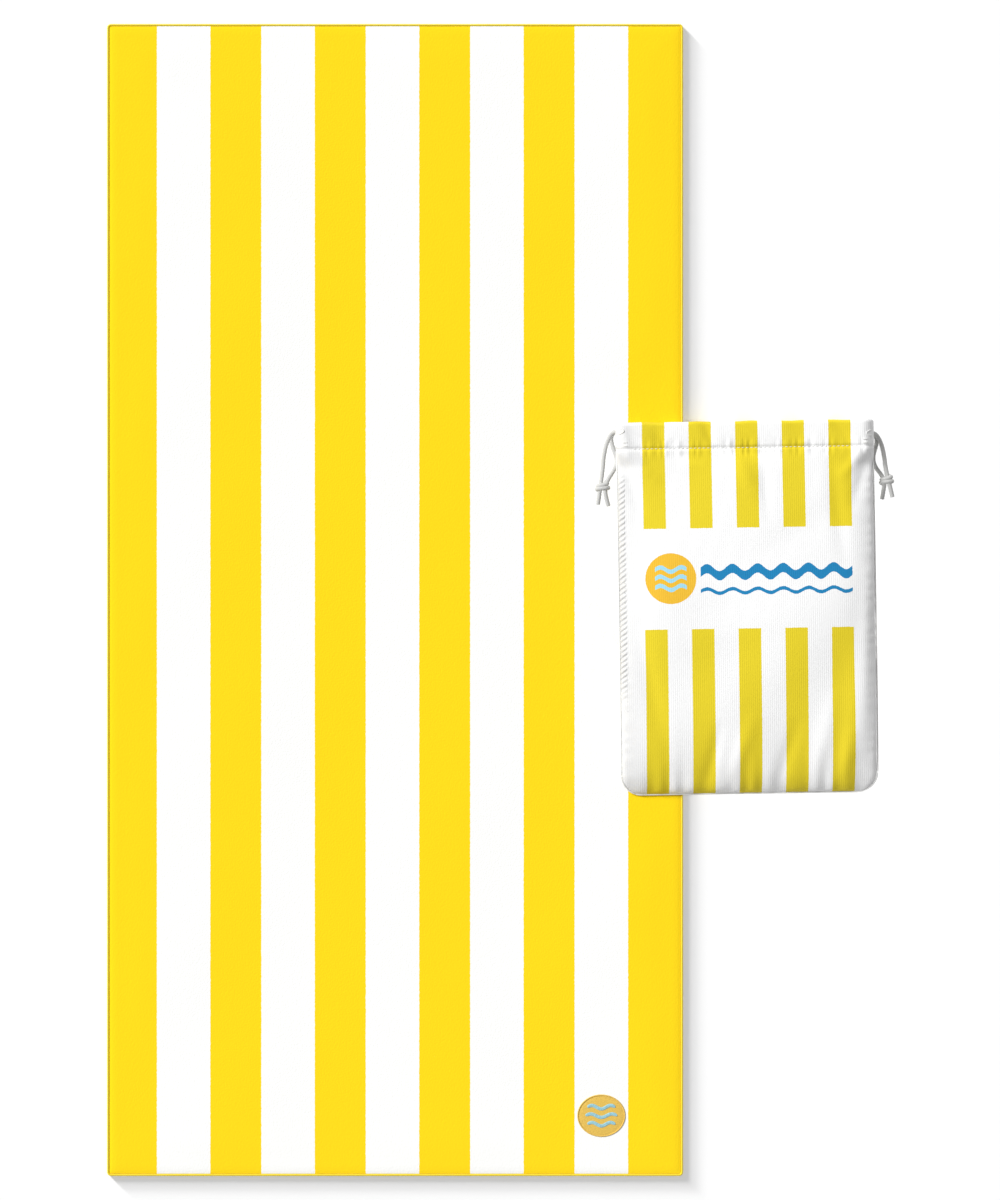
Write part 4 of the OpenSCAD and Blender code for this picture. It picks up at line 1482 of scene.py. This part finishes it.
@dataclass
class Studio:
    """A white floor, one broad light from the upper left, a white room, and a camera above."""

    aim: tuple[float, float] = (145.8 * MM, 0.0)
    tall: float = 1.667
    distance: float = 6.0
    sensor: float = 36.0
    key_towards: tuple[float, float, float] = (-0.66, 0.45, 0.6)
    key_energy: float = 3.65
    key_spread: float = 26
    room: float = 0.37
    above_energy: float = 0.8
    above_spread: float = 20
    # Each is its height in degrees, its width in degrees and its energy in W/m2.
    low_lights: tuple[tuple[float, float, float], ...] = ((9, 12, 6.6), (4.5, 4, 7.1))
    lows: list[bpy.types.Object] = field(default_factory=list)

    def camera(self) -> None:
        """A long lens that looks straight down, with the towel's length upright."""
        data = bpy.data.cameras.new("camera")
        data.sensor_fit = "VERTICAL"
        data.sensor_height = self.sensor
        data.lens = self.sensor * self.distance / self.tall
        made = bpy.data.objects.new("camera", data)
        made.location = (*self.aim, self.distance)
        bpy.context.scene.collection.objects.link(made)
        bpy.context.scene.camera = made

    def sun(
        self, name: str, towards: tuple[float, float, float], energy: float, spread: float
    ) -> bpy.types.Object:
        """Adds a far, even light.

        Args:
            name: Its name.
            towards: The direction from the towel to the light.
            energy: Its strength, in watts a square metre.
            spread: The angle that it fills, in degrees.

        Returns:
            The light.
        """
        data = bpy.data.lights.new(name, "SUN")
        data.energy = energy
        data.angle = math.radians(spread)
        made = bpy.data.objects.new(name, data)
        made.rotation_euler = Vector(towards).to_track_quat("Z", "Y").to_euler()
        bpy.context.scene.collection.objects.link(made)
        return made

    def light(self) -> None:
        """The key light on the goods, and the even light of the white room."""
        self.key = self.sun("key", self.key_towards, self.key_energy, self.key_spread)
        world = bpy.data.worlds.new("studio")
        world.use_nodes = True
        background = world.node_tree.nodes["Background"]
        background.inputs["Color"].default_value = linear("#FFFFFF")
        background.inputs["Strength"].default_value = self.room
        bpy.context.scene.world = world

    def floor(self) -> None:
        """The surface that the towel and the pouch lie on, with its own lights, as a light table.

        The key light leaves it alone, low lights from the upper left draw only the towel's soft
        shadow on it, and a light from above brings it up to white.
        """
        corners = np.array([[-4, -4, 0], [4, -4, 0], [4, 4, 0], [-4, 4, 0]], float)
        self.ground = Surface(corners, np.array([[0, 1, 2, 3]]), corners[:, :2]).piece("floor",
            StudioFloor().material())
        floor_only = self.group("floor_only", [self.ground], "INCLUDE")
        self.key.light_linking.receiver_collection = self.group("all_but_floor", [self.ground],
            "EXCLUDE")
        for k, (height, spread, energy) in enumerate(self.low_lights):
            rise = math.radians(height)
            towards = (-math.cos(rise) * math.sqrt(0.5), math.cos(rise) * math.sqrt(0.5),
                math.sin(rise))
            self.lows.append(self.sun(f"low_{k}", towards, energy, spread))
        for light in (*self.lows,
            self.sun("above", (0, 0, 1), self.above_energy, self.above_spread)):
            light.light_linking.receiver_collection = floor_only

    def group(self, name: str, members: list[bpy.types.Object], state: str) -> bpy.types.Collection:
        """Makes a collection that a light includes or leaves out."""
        made = bpy.data.collections.new(name)
        for member in members:
            made.objects.link(member)
        for entry in made.collection_objects:
            entry.light_linking.link_state = state
        return made

    def shade(self, towel: list[bpy.types.Object], cords: list[bpy.types.Object]) -> None:
        """Lets only the towel block the low lights, and all but the thin cords the key light."""
        towel_only = self.group("towel_only", towel, "INCLUDE")
        for light in self.lows:
            light.light_linking.blocker_collection = towel_only
        self.key.light_linking.blocker_collection = self.group("all_but_cords", cords, "EXCLUDE")

    def build(self) -> None:
        """Sets up the camera, the lights, the floor and how the picture is shown."""
        self.camera()
        self.light()
        self.floor()
        bpy.context.scene.view_settings.view_transform = "Standard"


def main() -> None:
    """Builds the studio, the cords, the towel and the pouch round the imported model."""
    logging.basicConfig(level=logging.INFO, format="%(name)s: %(message)s")
    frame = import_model()
    studio = Studio()
    studio.build()
    place = PouchFrame.found(frame)
    # painted shade: the white cotton cord is given a grey colour that stands in for the shade on
    # its round sides
    braid = Thread("braided_cotton_cord_white", "#CBCBC9", roughness=0.8, sheen=0.1,
        grain=0.08).material()
    cords = [piece for side in Side for piece in Drawcord(place, side, braid).build()]
    studio.shade(Towel.found().build(), cords)
    cloth = PouchCloth(place)
    cloth.build()
    PouchSewing(place, cloth).build()


if __name__ == "__main__":
    main()
